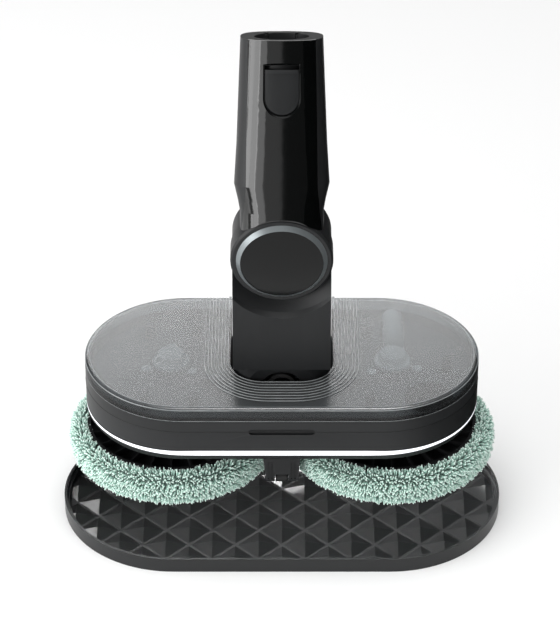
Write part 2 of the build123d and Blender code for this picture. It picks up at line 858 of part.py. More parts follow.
def make_latch_bezel(outer):
    """The bevelled surround of the latch."""
    ring = outer & latch_prism(bezel_half, bezel_low, bezel_high, -40, -23.4)
    ring -= latch_prism(latch_half, latch_low, latch_window_high, -34, -23.4, grow=latch_gap)
    high = latch_window_high + 0.6
    slope = latch_prism(latch_half + 0.6, latch_low - 0.6, high, -31, -25.4, taper=-38)
    return solids_over(ring - slope, 20)


def make_latch_button():
    """The D-shaped release button."""
    face = tube_form(1.5) - tube_form(2.7)
    button = face & latch_prism(latch_half, latch_low, latch_high, -40, -18)
    lip = (tube_form(0.9) - tube_form(2.7)) & tube_front_prism(
        [(-latch_half + 0.8, latch_high - 2.6), (latch_half - 0.8, latch_high - 2.6),
         (latch_half - 0.8, latch_high), (-latch_half + 0.8, latch_high)], -40, -18)
    return solids_over(button + lip, 20)


def tube_shell(outer, skin, inner):
    """The tube's two-part casing before it is split."""
    shell = outer - inner
    shell -= (outer - skin) & plate_region()
    shell -= latch_prism(bezel_half, bezel_low, bezel_high, -40, -20)
    return beyond_disc(shell)


def swivel_disc_body():
    """The round lower end of the tube."""
    disc = swivel_disc(disc_radius, disc_front, disc_back)
    edge = disc.edges().filter_by(GeomType.CIRCLE).sort_by(Axis.Y)[0]
    disc = chamfer(edge, 1.4)
    disc -= swivel_disc(ring_outer, -5, disc_back - 3.5)
    return disc - swivel_disc(hub_shaft_radius, 0, disc_back + 1)


def make_tube_front_shell(shell):
    """The tube's front casing with its round swivel end."""
    front = shell & in_tube(-60, tube_split)
    return solids_over(front + swivel_disc_body(), 200)


def make_tube_rear_shell(shell):
    """The tube's rear casing."""
    return solids_over((shell & in_tube(tube_split, 60)) - tube_screw_rods(-1.4, 6), 200)


def in_tube(near, far):
    """A large block in the tube's own frame between two depths."""
    base = tube_plane()
    return base * Pos(0, (near + far) / 2, tube_length / 2) * Box(120, far - near, tube_length + 60)


def bore_rod(radius, low, high):
    """A rod on the socket's axis."""
    return tube_plane() * Pos(0, socket_offset, (low + high) / 2) * Cylinder(radius, high - low)


def contact_rods(radius, low, high):
    """Two rods beside the socket's bore."""
    depth = socket_offset + sqrt(contact_reach ** 2 - contact_x ** 2)
    rods = []
    for x in (-contact_x, contact_x):
        rods.append(tube_plane() * Pos(x, depth, (low + high) / 2) * Cylinder(radius, high - low))
    return rods


def make_socket_liner(inner):
    """The socket that the handle's tube plugs into."""
    low = tube_length - socket_length - 3
    liner = bore_rod(socket_radius + socket_wall, low, tube_length - 3)
    liner += contact_rods(contact_groove + 1.3, low, tube_length - 3)
    collar = inner & (tube_plane() * Pos(0, 0, tube_length - 2) * Box(90, 90, 4))
    liner += collar
    liner -= bore_rod(socket_radius, tube_length - socket_length, tube_length + 5)
    liner -= contact_rods(contact_groove, low + 3, tube_length + 5)
    return liner


def make_contact_pins():
    """Two contact posts beside the bore."""
    low = tube_length - socket_length
    return Compound(contact_rods(contact_radius, low, tube_length - 1.2))


def make_swivel_hub():
    """The hollow hub that turns in the neck's bush."""
    hub = swivel_disc(24, disc_back - 5.5, disc_back - 3.5)
    hub += swivel_disc(hub_shaft_radius, disc_back - 5.5, barrel_back + 3.4)
    return hub - swivel_disc(8, disc_back - 8, barrel_back + 4)


def make_swivel_retainer():
    """The ring that keeps the hub in the neck."""
    ring = swivel_disc(18, barrel_back + 0.4, barrel_back + 3.4)
    return ring - swivel_disc(hub_shaft_radius, barrel_back, barrel_back + 4)


def make_swivel_trim_ring():
    """The satin grey trim ring, a shallow cone."""
    return swivel_turned([(ring_inner, -1.4), (ring_outer, 1.5), (ring_outer, 4.5), (ring_inner, 4.5)])


def make_swivel_cap():
    """The domed glossy cap."""
    edge = ring_inner
    dome = []
    steps = 10
    for i in range(steps + 1):
        r = edge * (1 - i / steps)
        dome.append((r, -3.4 + 2.6 * (r / edge) ** 2))
    dome += [(0, 1.5), (edge, 1.5)]
    return swivel_turned(dome)


def make_latch_spring():
    """The bent leaf spring behind the button."""
    line = [(-23.0, 0), (-23.1, 6), (-23.25, 10), (-23.25, 15), (-23.1, 19), (-23.0, 25)]
    thickness = 0.35
    base = tube_plane(latch_low + 2)
    side = Plane(origin=base.origin, x_dir=base.y_dir, z_dir=(1, 0, 0))
    outer = line + [(d + thickness, s) for d, s in reversed(line)]
    return extrude(side * make_face(Polyline(outer, close=True)), 4, both=True)


def tube_screw_rods(low, high):
    """Round rods at the four screws in the back of the tube."""
    rods = []
    for station, depth in ((62, 22.4), (126, 25.3)):
        for x in (-13, 13):
            middle = Pos(x, depth + (low + high) / 2, 0)
            rods.append(tube_plane(station) * middle * Rot(90, 0, 0) * Cylinder(2.6, high - low))
    return rods


def make_tube_screws():
    """Screws in the back of the tube."""
    return Compound(tube_screw_rods(-1.4, 0))


# ================================================================ build
def build_tray():
    """Nodes of the tray."""
    return {"storage_tray": make_storage_tray(), "tray_feet": make_tray_feet()}


def build_head():
    """Nodes of the head's chassis."""
    nodes = {
        "base_upper_shell": make_base_upper_shell(),
        "base_bottom_cover": drilled_for_screws(make_base_bottom_cover()),
        "led_light_bar": make_led_light_bar(),
        "led_board": make_led_board(),
        "control_board": make_control_board(),
        "water_pump": make_water_pump(),
        "pump_hoses": make_pump_hoses(),
        "drip_nozzles": make_drip_nozzles(),
        "tank_inlet": make_tank_inlet(),
        "pivot_brackets": make_pivot_brackets(),
        "pivot_pin": make_pivot_pin(),
        "roller_fork": make_roller_fork(),
        "roller_axle": make_roller_axle(),
        "support_roller": make_support_roller(),
        "base_screws": Compound(make_base_screws()),
        "tank_catch": make_tank_catch(),
    }
    for name, side in (("left", -1), ("right", 1)):
        nodes[name + "_motor"] = make_motor(side)
        nodes[name + "_gearbox_plate"] = make_gearbox_plate(side)
        nodes[name + "_spindle_bearing"] = make_spindle_bearing(side)
        nodes[name + "_spindle"] = make_spindle(side)
        nodes[name + "_drive_gear"] = make_drive_gear(side)
        nodes[name + "_motor_pinion"] = make_pinion(side)
        nodes[name + "_pad_plate"] = make_pad_plate(side)
        nodes[name + "_pad_backing"] = make_pad_backing(side)
        nodes[name + "_pad_pile"] = make_pad_pile(side)
    return nodes


def build_tank():
    """Nodes of the water tank."""
    return {
        "tank_lower_shell": make_tank_lower_shell(),
        "tank_cover": make_tank_cover(),
        "tank_seal": make_tank_seal(),
        "tank_valve": make_tank_valve(),
        "tank_posts": make_tank_posts(),
        "filler_cap": make_filler_cap(),
    }


def build_neck():
    """Nodes of the neck."""
    return {
        "neck_front_shell": make_neck_front_shell(),
        "neck_rear_shell": make_neck_rear_shell(),
        "neck_grommet": make_neck_grommet(),
        "swivel_bush": make_swivel_bush(),
        "neck_screws": make_neck_screws(),
    }


def build_tube():
    """Nodes of the upper tube and its latch."""
    outer = tube_form()
    skin = tube_form(plate_skin)
    inner = tube_form(tube_wall)
    shell = tube_shell(outer, skin, inner)
    return {
        "tube_front_shell": make_tube_front_shell(shell),
        "tube_rear_shell": make_tube_rear_shell(shell),
        "tube_front_plate": make_tube_front_plate(outer, skin),
        "latch_bezel": make_latch_bezel(outer),
        "latch_button": make_latch_button(),
        "latch_spring": make_latch_spring(),
        "socket_liner": make_socket_liner(inner),
        "contact_pins": make_contact_pins(),
        "swivel_hub": make_swivel_hub(),
        "swivel_retainer": make_swivel_retainer(),
        "swivel_trim_ring": make_swivel_trim_ring(),
        "swivel_cap": make_swivel_cap(),
        "tube_screws": make_tube_screws(),
    }


def main():
    """Write every node to its own file."""
    os.makedirs("parts", exist_ok=True)
    for group in (build_tray, build_head, build_tank, build_neck, build_tube):
        for name, part in group().items():
            export_step(part, "parts/" + name + ".step")


main()
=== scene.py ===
import json
import math
import random

import bmesh
import bpy
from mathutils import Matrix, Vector


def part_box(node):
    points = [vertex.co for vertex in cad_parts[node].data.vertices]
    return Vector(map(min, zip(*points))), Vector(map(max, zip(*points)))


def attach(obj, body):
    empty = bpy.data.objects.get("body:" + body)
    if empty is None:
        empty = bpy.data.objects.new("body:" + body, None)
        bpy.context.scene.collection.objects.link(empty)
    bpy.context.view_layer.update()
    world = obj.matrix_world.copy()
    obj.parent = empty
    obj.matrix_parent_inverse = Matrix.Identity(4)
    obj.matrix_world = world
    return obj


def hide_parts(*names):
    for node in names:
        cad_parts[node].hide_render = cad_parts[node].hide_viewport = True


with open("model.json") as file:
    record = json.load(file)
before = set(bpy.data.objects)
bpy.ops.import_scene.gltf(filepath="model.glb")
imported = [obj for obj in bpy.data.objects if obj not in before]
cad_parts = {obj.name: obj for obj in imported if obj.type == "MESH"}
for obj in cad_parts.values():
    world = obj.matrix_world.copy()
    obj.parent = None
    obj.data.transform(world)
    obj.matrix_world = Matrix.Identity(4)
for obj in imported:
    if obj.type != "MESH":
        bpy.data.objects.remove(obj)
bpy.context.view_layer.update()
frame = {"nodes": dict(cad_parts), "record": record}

NODES = frame["nodes"]
MM = 0.001
NOTCH_HALF = 36.6 * MM      # half the width of the cover's notch for the neck
NOTCH_FRONT = -37.0 * MM    # where the notch ends, in front of the neck
NOTCH_CORNER = 24.0 * MM    # radius of the notch's front corners
TANK_FLOOR = 114.6 * MM     # inside floor of the tank
TANK_WALL = 2.4 * MM        # wall line of the tank's base
RIBS = 8                    # clear ribs round the notch
VENT_X, VENT_Y = 79.5 * MM, 11.0 * MM
PIPE_X, PIPE_HEIGHT = 80.5 * MM, 123.6 * MM
BOX_NEAR, BOX_FAR = 38.6 * MM, 55.6 * MM          # bearing covers beside the neck, across
BOX_FRONT, BOX_BACK, BOX_HEIGHT = 8.0 * MM, 50.0 * MM, 12.0 * MM
LIT_STRAIGHT, LIT_END = 60 * MM, 138 * MM         # where the lit line starts and ends thinning
LIT_WIDE, LIT_THIN = 1.85 * MM, 0.55 * MM         # half its height in front and at the ends
# Soft boxes: height and watts of those behind, azimuth and watts of those in the front fan.
BACK_BOXES = ((1.02, 22.0), (1.20, 12.0), (1.38, 4.5), (1.56, 1.6))
FAN_BOXES = ((-88, 14.0), (-68, 15.0), (-48, 13.0), (-30, 6.0), (-10, 1.6))
FAN_RADIUS, FAN_HEIGHT = 2.2, 0.72

bl_info = {
    "name": "Spinning Pad Floor Scrubber",
    "version": (1, 0, 0),
    "blender": (4, 5, 0),
    "location": "View3D > Sidebar > Scrubber",
    "description": "Dresses the floor scrubber head, its tank and its tray",
    "category": "Object",
}


# ---------------------------------------------------------------- settings
class ScrubberSizes(bpy.types.PropertyGroup):
    """Sizes a user would change."""
    strand_length: bpy.props.FloatProperty(
        name="Strand length", description="Length of one microfibre strand",
        default=5.6 * MM, unit="LENGTH")
    strand_radius: bpy.props.FloatProperty(
        name="Strand radius", description="Radius of one strand at its thickest",
        default=0.64 * MM, unit="LENGTH")
    side_spacing: bpy.props.FloatProperty(
        name="Side spacing", description="Least distance between strands round the pad's edge",
        default=1.0 * MM, unit="LENGTH")
    face_spacing: bpy.props.FloatProperty(
        name="Face spacing", description="Least distance between strands on the scrubbing face",
        default=2.1 * MM, unit="LENGTH")
    strand_seed: bpy.props.IntProperty(
        name="Strand seed", description="Seed of the strands' random lean", default=7)
    floor_size: bpy.props.FloatProperty(
        name="Floor size", description="Side of the square floor", default=12.0, unit="LENGTH")


class ScrubberColours(bpy.types.PropertyGroup):
    """Colours as sRGB hex values."""
    shell: bpy.props.StringProperty(
        name="Shell", description="Eroded black ABS of the casings", default="#1E1F20")
    tray: bpy.props.StringProperty(
        name="Tray", description="Black polypropylene of the tray", default="#161718")
    gloss: bpy.props.StringProperty(
        name="Gloss", description="Polished black ABS", default="#050606")
    smoke: bpy.props.StringProperty(
        name="Smoke", description="Smoked polycarbonate of the tank cover", default="#6F7172")
    pile: bpy.props.StringProperty(
        name="Pile", description="Mint microfibre", default="#B3D6CA")
    # The pile's tip colour is a painted highlight on the strands' tips.
    pile_tip_highlight: bpy.props.StringProperty(
        name="Pile tip highlight", description="Painted highlight on the microfibre tips", default="#F0FAF5")
    trim: bpy.props.StringProperty(
        name="Trim", description="Satin grey trim ring", default="#7D8385")


def sizes():
    return bpy.context.scene.scrubber_sizes


def colours():
    return bpy.context.scene.scrubber_colours


# ---------------------------------------------------------------- node helpers
def linear(hex_colour):
    """An sRGB hex value as a linear colour with alpha 1."""
    values = [int(hex_colour[i:i + 2], 16) / 255 for i in (1, 3, 5)]
    channels = [v / 12.92 if v <= 0.04045 else ((v + 0.055) / 1.055) ** 2.4 for v in values]
    return (*channels, 1.0)


def add(tree, kind, settings=None, inputs=None):
    """Adds a node, sets its properties, and sets or links its inputs by name or index."""
    made = tree.nodes.new(kind)
    for key, value in (settings or {}).items():
        setattr(made, key, value)
    for key, value in (inputs or {}).items():
        if isinstance(value, bpy.types.NodeSocket):
            tree.links.new(value, made.inputs[key])
        else:
            made.inputs[key].default_value = value
    return made


def blank_material(name):
    """A material with only its output node."""
    material = bpy.data.materials.new(name)
    material.use_nodes = True
    tree = material.node_tree
    tree.nodes.clear()
    return material, tree, tree.nodes.new("ShaderNodeOutputMaterial")


def ramp(tree, factor, stops):
    """A colour ramp with (place, colour) stops."""
    made = add(tree, "ShaderNodeValToRGB", None, {"Fac": factor})
    elements = made.color_ramp.elements
    while len(elements) < len(stops):
        elements.new(0.5)
    for element, (place, colour) in zip(elements, stops):
        element.position = place
        element.color = colour
    return made


def shade(hex_colour, factor):
    """A hex colour made lighter or darker, as linear."""
    r, g, b, a = linear(hex_colour)
    return (r * factor, g * factor, b * factor, a)


def place_of(tree):
    """Object coordinates, in metres."""
    return add(tree, "ShaderNodeTexCoord").outputs["Object"]


# ---------------------------------------------------------------- materials
def eroded_plastic(name, hex_colour, roughness, grain=0.9 * MM, depth=0.05, gloss=0.25):
    """Spark-eroded moulded plastic: a fine leathery grain and slightly uneven sheen.

    The real grain is about 0.3 mm; it is drawn coarser so that it shows."""
    material, tree, output = blank_material(name)
    place = place_of(tree)
    fine = add(tree, "ShaderNodeTexNoise", None,
               {"Vector": place, "Scale": 1 / grain, "Detail": 3.0, "Roughness": 0.6})
    cloud = add(tree, "ShaderNodeTexNoise", None, {"Vector": place, "Scale": 28.0, "Detail": 2.0})
    colour = ramp(tree, cloud.outputs["Fac"],
                  [(0.3, shade(hex_colour, 0.9)), (0.7, shade(hex_colour, 1.1))])
    rough = add(tree, "ShaderNodeMapRange", None,
                {"Value": cloud.outputs["Fac"], "To Min": roughness - 0.04, "To Max": roughness + 0.04})
    bump = add(tree, "ShaderNodeBump", None,
               {"Height": fine.outputs["Fac"], "Strength": depth * 4, "Distance": 0.00012})
    edge = add(tree, "ShaderNodeNewGeometry")
    wear = ramp(tree, edge.outputs["Pointiness"], [(0.52, (0, 0, 0, 1)), (0.62, (1, 1, 1, 1))])
    worn = add(tree, "ShaderNodeMix", {"data_type": "RGBA"},
               {"Factor": wear.outputs["Color"], "A": colour.outputs["Color"],
                "B": shade(hex_colour, 1.35)})
    surface = add(tree, "ShaderNodeBsdfPrincipled", None, {
        "Base Color": worn.outputs["Result"], "Roughness": rough.outputs["Result"],
        "IOR": 1.53, "Specular IOR Level": gloss, "Normal": bump.outputs["Normal"]})
    tree.links.new(surface.outputs["BSDF"], output.inputs["Surface"])
    return material


def polished_plastic(name, hex_colour, roughness=0.07, gloss=0.5):
    """Polished piano-black ABS: deep gloss with a faint flow ripple from the mould."""
    material, tree, output = blank_material(name)
    place = place_of(tree)
    ripple = add(tree, "ShaderNodeTexNoise", None, {"Vector": place, "Scale": 22.0, "Detail": 1.0})
    dust = add(tree, "ShaderNodeTexNoise", None, {"Vector": place, "Scale": 900.0, "Detail": 2.0})
    rough = add(tree, "ShaderNodeMapRange", None, {
        "Value": dust.outputs["Fac"], "From Min": 0.35, "From Max": 0.75,
        "To Min": roughness, "To Max": roughness + 0.05})
    bump = add(tree, "ShaderNodeBump", None,
               {"Height": ripple.outputs["Fac"], "Strength": 0.05, "Distance": 0.0004})
    surface = add(tree, "ShaderNodeBsdfPrincipled", None, {
        "Base Color": linear(hex_colour), "Roughness": rough.outputs["Result"], "IOR": 1.54,
        "Specular IOR Level": gloss, "Normal": bump.outputs["Normal"]})
    tree.links.new(surface.outputs["BSDF"], output.inputs["Surface"])
    return material


def smoked_polycarbonate(name, hex_colour):
    """Smoked clear polycarbonate: dark tint, glossy skin, and a slight moulding haze."""
    material, tree, output = blank_material(name)
    place = place_of(tree)
    haze = add(tree, "ShaderNodeTexNoise", None, {"Vector": place, "Scale": 35.0, "Detail": 2.0})
    rough = add(tree, "ShaderNodeMapRange", None,
                {"Value": haze.outputs["Fac"], "To Min": 0.28, "To Max": 0.32})
    skin = add(tree, "ShaderNodeBsdfPrincipled", None, {
        "Base Color": shade(hex_colour, 0.25), "Roughness": rough.outputs["Result"], "IOR": 1.58,
        "Specular IOR Level": 1.0})
    clear = add(tree, "ShaderNodeBsdfTransparent", None, {"Color": shade(hex_colour, 3.5)})
    edge = add(tree, "ShaderNodeLayerWeight", None, {"Blend": 0.35})
    body = add(tree, "ShaderNodeMapRange", None,
               {"Value": edge.outputs["Facing"], "From Min": 0.3, "From Max": 0.9,
                "To Min": 0.22, "To Max": 0.5})
    mixed = add(tree, "ShaderNodeMixShader", None,
                {0: body.outputs["Result"], 1: clear.outputs["BSDF"], 2: skin.outputs["BSDF"]})
    tree.links.new(mixed.outputs["Shader"], output.inputs["Surface"])
    return material


def painted_rib_highlight(name):
    """Painted highlight on polished clear polycarbonate edges: pale, partly see-through beads that stand
    for the ribs and rims catching the light along their length.
    """
    material, tree, output = blank_material(name)
    haze = add(tree, "ShaderNodeTexNoise", None, {"Vector": place_of(tree), "Scale": 60.0})
    # The pale grey tone is a painted highlight, not the colour of the clear plastic.
    tone = ramp(tree, haze.outputs["Fac"], [(0.3, linear("#A9AEAF")), (0.7, linear("#D9DDDE"))])
    skin = add(tree, "ShaderNodeBsdfPrincipled", None, {
        "Base Color": tone.outputs["Color"], "Roughness": 0.28, "IOR": 1.58})
    clear = add(tree, "ShaderNodeBsdfTransparent", None, {"Color": (0.8, 0.8, 0.8, 1)})
    mixed = add(tree, "ShaderNodeMixShader", None,
                {0: 0.42, 1: clear.outputs["BSDF"], 2: skin.outputs["BSDF"]})
    tree.links.new(mixed.outputs["Shader"], output.inputs["Surface"])
    return material


def tank_base_plastic(name, wall_hex, floor_hex):
    """Moulded black ABS whose water side, inside the wall line, is left pale and smoother."""
    material, tree, output = blank_material(name)
    low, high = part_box("tank_cover")
    place = place_of(tree)
    parts = add(tree, "ShaderNodeSeparateXYZ", None, {0: place})
    side = add(tree, "ShaderNodeMath", {"operation": "ABSOLUTE"}, {0: parts.outputs["X"]})
    past = add(tree, "ShaderNodeMath", {"operation": "SUBTRACT"},
               {0: side.outputs[0], 1: high.x - high.y})
    beyond = add(tree, "ShaderNodeMath", {"operation": "MAXIMUM"}, {0: past.outputs[0], 1: 0.0})
    flat = add(tree, "ShaderNodeCombineXYZ", None, {"X": beyond.outputs[0], "Y": parts.outputs["Y"]})
    reach = add(tree, "ShaderNodeVectorMath", {"operation": "LENGTH"}, {0: flat.outputs[0]})
    inside = add(tree, "ShaderNodeMath", {"operation": "LESS_THAN"},
                 {0: reach.outputs["Value"], 1: high.y - TANK_WALL})
    cloud = add(tree, "ShaderNodeTexNoise", None, {"Vector": place, "Scale": 45.0, "Detail": 3.0})
    wet = ramp(tree, cloud.outputs["Fac"], [(0.3, shade(floor_hex, 0.85)), (0.7, shade(floor_hex, 1.1))])
    tone = add(tree, "ShaderNodeMix", {"data_type": "RGBA"},
               {"Factor": inside.outputs[0], "A": linear(wall_hex), "B": wet.outputs["Color"]})
    surface = add(tree, "ShaderNodeBsdfPrincipled", None, {
        "Base Color": tone.outputs["Result"], "Roughness": 0.44, "IOR": 1.53,
        "Specular IOR Level": 0.25})
    tree.links.new(surface.outputs["BSDF"], output.inputs["Surface"])
    return material


def opal_diffuser(name):
    """Opal acrylic light diffuser: its lit line is widest at the front and thins round the ends."""
    material, tree, output = blank_material(name)
    low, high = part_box("led_light_bar")
    parts = add(tree, "ShaderNodeSeparateXYZ", None, {0: place_of(tree)})
    side = add(tree, "ShaderNodeMath", {"operation": "ABSOLUTE"}, {0: parts.outputs["X"]})
    half = add(tree, "ShaderNodeMapRange", None, {
        "Value": side.outputs[0], "From Min": LIT_STRAIGHT, "From Max": LIT_END,
        "To Min": LIT_WIDE, "To Max": LIT_THIN})
    up = add(tree, "ShaderNodeMath", {"operation": "SUBTRACT"},
             {0: parts.outputs["Z"], 1: (low.z + high.z) / 2})
    off = add(tree, "ShaderNodeMath", {"operation": "ABSOLUTE"}, {0: up.outputs[0]})
    room = add(tree, "ShaderNodeMath", {"operation": "SUBTRACT"},
               {0: half.outputs["Result"], 1: off.outputs[0]})
    lit = add(tree, "ShaderNodeMapRange", {"interpolation_type": "SMOOTHSTEP"}, {
        "Value": room.outputs[0], "From Min": -0.4 * MM, "From Max": 0.4 * MM,
        "To Min": 0.0, "To Max": 0.96})
    tone = ramp(tree, lit.outputs["Result"], [(0.0, linear("#1A1B1C")), (1.0, linear("#F4F6FA"))])
    surface = add(tree, "ShaderNodeBsdfPrincipled", None, {
        "Base Color": tone.outputs["Color"], "Roughness": 0.4, "IOR": 1.49,
        "Specular IOR Level": 0.2, "Emission Color": linear("#F6F8FF"),
        "Emission Strength": lit.outputs["Result"]})
    tree.links.new(surface.outputs["BSDF"], output.inputs["Surface"])
    return material


def satin_paint(name, hex_colour):
    """Satin metallic paint on the trim ring, with fine flake."""
    material, tree, output = blank_material(name)
    flake = add(tree, "ShaderNodeTexVoronoi", None, {"Vector": place_of(tree), "Scale": 3500.0})
    colour = ramp(tree, flake.outputs["Distance"],
                  [(0.0, shade(hex_colour, 1.12)), (0.8, shade(hex_colour, 0.9))])
    surface = add(tree, "ShaderNodeBsdfPrincipled", None, {
        "Base Color": colour.outputs["Color"], "Metallic": 0.55, "Roughness": 0.34})
    tree.links.new(surface.outputs["BSDF"], output.inputs["Surface"])
    return material


def soft_rubber(name, hex_colour):
    """Matte elastomer with a dusty bloom."""
    material, tree, output = blank_material(name)
    place = place_of(tree)
    bloom = add(tree, "ShaderNodeTexNoise", None, {"Vector": place, "Scale": 140.0, "Detail": 4.0})
    colour = ramp(tree, bloom.outputs["Fac"],
                  [(0.35, shade(hex_colour, 0.85)), (0.75, shade(hex_colour, 1.3))])
    bump = add(tree, "ShaderNodeBump", None,
               {"Height": bloom.outputs["Fac"], "Strength": 0.2, "Distance": 0.0001})
    surface = add(tree, "ShaderNodeBsdfPrincipled", None, {
        "Base Color": colour.outputs["Color"], "Roughness": 0.72, "IOR": 1.52,
        "Normal": bump.outputs["Normal"]})
    tree.links.new(surface.outputs["BSDF"], output.inputs["Surface"])
    return material


def drawn_steel(name, hex_colour, roughness, stretch=(1.0, 1.0, 14.0)):
    """Drawn or turned steel: fine lines along the work, and a little tarnish."""
    material, tree, output = blank_material(name)
    lines = add(tree, "ShaderNodeMapping", None, {"Vector": place_of(tree), "Scale": stretch})
    grain = add(tree, "ShaderNodeTexNoise", None,
                {"Vector": lines.outputs["Vector"], "Scale": 900.0, "Detail": 2.0})
    colour = ramp(tree, grain.outputs["Fac"],
                  [(0.3, shade(hex_colour, 0.85)), (0.7, shade(hex_colour, 1.08))])
    rough = add(tree, "ShaderNodeMapRange", None,
                {"Value": grain.outputs["Fac"], "To Min": roughness - 0.06, "To Max": roughness + 0.08})
    surface = add(tree, "ShaderNodeBsdfPrincipled", None, {
        "Base Color": colour.outputs["Color"], "Metallic": 1.0, "Roughness": rough.outputs["Result"]})
    tree.links.new(surface.outputs["BSDF"], output.inputs["Surface"])
    return material


def moulded_nylon(name, hex_colour):
    """Natural nylon: waxy, a little translucent, with faint flow marks."""
    material, tree, output = blank_material(name)
    flow = add(tree, "ShaderNodeTexNoise", None,
               {"Vector": place_of(tree), "Scale": 60.0, "Detail": 3.0, "Distortion": 1.2})
    colour = ramp(tree, flow.outputs["Fac"],
                  [(0.3, shade(hex_colour, 0.9)), (0.7, shade(hex_colour, 1.05))])
    bump = add(tree, "ShaderNodeBump", None,
               {"Height": flow.outputs["Fac"], "Strength": 0.1, "Distance": 0.0002})
    surface = add(tree, "ShaderNodeBsdfPrincipled", None, {
        "Base Color": colour.outputs["Color"], "Roughness": 0.42, "IOR": 1.53,
        "Subsurface Weight": 0.15, "Subsurface Scale": 0.002, "Normal": bump.outputs["Normal"]})
    tree.links.new(surface.outputs["BSDF"], output.inputs["Surface"])
    return material


def circuit_laminate(name):
    """Green solder mask over glass laminate, with copper tracks showing as lighter lines."""
    material, tree, output = blank_material(name)
    place = place_of(tree)
    tracks = add(tree, "ShaderNodeTexBrick", None, {
        "Vector": place, "Scale": 260.0, "Color1": linear("#0F4A2A"), "Color2": linear("#12552F"),
        "Mortar": linear("#2F8A52"), "Mortar Size": 0.03})
    surface = add(tree, "ShaderNodeBsdfPrincipled", None, {
        "Base Color": tracks.outputs["Color"], "Roughness": 0.32, "IOR": 1.5})
    tree.links.new(surface.outputs["BSDF"], output.inputs["Surface"])
    return material


def milky_silicone(name):
    """Milky silicone hose: soft, slightly see-through."""
    material, tree, output = blank_material(name)
    cloud = add(tree, "ShaderNodeTexNoise", None, {"Vector": place_of(tree), "Scale": 90.0})
    colour = ramp(tree, cloud.outputs["Fac"], [(0.3, linear("#C4CBCB")), (0.7, linear("#DDE2E2"))])
    surface = add(tree, "ShaderNodeBsdfPrincipled", None, {
        "Base Color": colour.outputs["Color"], "Roughness": 0.45, "IOR": 1.41,
        "Subsurface Weight": 0.3, "Subsurface Scale": 0.003})
    tree.links.new(surface.outputs["BSDF"], output.inputs["Surface"])
    return material


def microfibre(name, hex_colour, tip_highlight_colour):
    """Chenille microfibre with a soft sheen; its colour carries painted shade deep towards the roots and
    a painted highlight at the tips.
    """
    material, tree, output = blank_material(name)
    height = add(tree, "ShaderNodeAttribute", {"attribute_name": "pile_height"})
    tint = add(tree, "ShaderNodeAttribute", {"attribute_name": "pile_tint"})
    fuzz = add(tree, "ShaderNodeTexNoise", None,
               {"Vector": place_of(tree), "Scale": 2200.0, "Detail": 3.0, "Roughness": 0.7})
    # Painted shade darkens each strand towards its root, and a painted highlight lightens its tip.
    along = ramp(tree, height.outputs["Fac"], [
        (0.0, shade(hex_colour, 0.30)), (0.4, shade(hex_colour, 0.75)),
        (0.75, linear(hex_colour)), (1.0, linear(tip_highlight_colour))])
    strand = ramp(tree, tint.outputs["Fac"], [
        (0.0, shade(hex_colour, 0.75)), (0.5, linear(tip_highlight_colour)), (1.0, (1, 1, 1, 1))])
    mixed = add(tree, "ShaderNodeMix", {"data_type": "RGBA", "blend_type": "MULTIPLY"},
                {"Factor": 0.35, "A": along.outputs["Color"], "B": strand.outputs["Color"]})
    bump = add(tree, "ShaderNodeBump", None,
               {"Height": fuzz.outputs["Fac"], "Strength": 0.7, "Distance": 0.0003})
    surface = add(tree, "ShaderNodeBsdfPrincipled", None, {
        "Base Color": mixed.outputs["Result"], "Roughness": 0.85, "IOR": 1.45,
        "Sheen Weight": 0.5, "Sheen Roughness": 0.45, "Sheen Tint": linear(tip_highlight_colour),
        "Normal": bump.outputs["Normal"]})
    tree.links.new(surface.outputs["BSDF"], output.inputs["Surface"])
    return material


def loop_fleece(name, hex_colour):
    """Knitted loop backing of the pads: small rows of loops."""
    material, tree, output = blank_material(name)
    knit = add(tree, "ShaderNodeTexVoronoi", None, {"Vector": place_of(tree), "Scale": 1 / (1.2 * MM)})
    colour = ramp(tree, knit.outputs["Distance"],
                  [(0.1, shade(hex_colour, 1.3)), (0.7, shade(hex_colour, 0.5))])
    bump = add(tree, "ShaderNodeBump", {"invert": True},
               {"Height": knit.outputs["Distance"], "Strength": 0.8, "Distance": 0.0005})
    surface = add(tree, "ShaderNodeBsdfPrincipled", None, {
        "Base Color": colour.outputs["Color"], "Roughness": 0.9, "Sheen Weight": 0.3,
        "Normal": bump.outputs["Normal"]})
    tree.links.new(surface.outputs["BSDF"], output.inputs["Surface"])
    return material


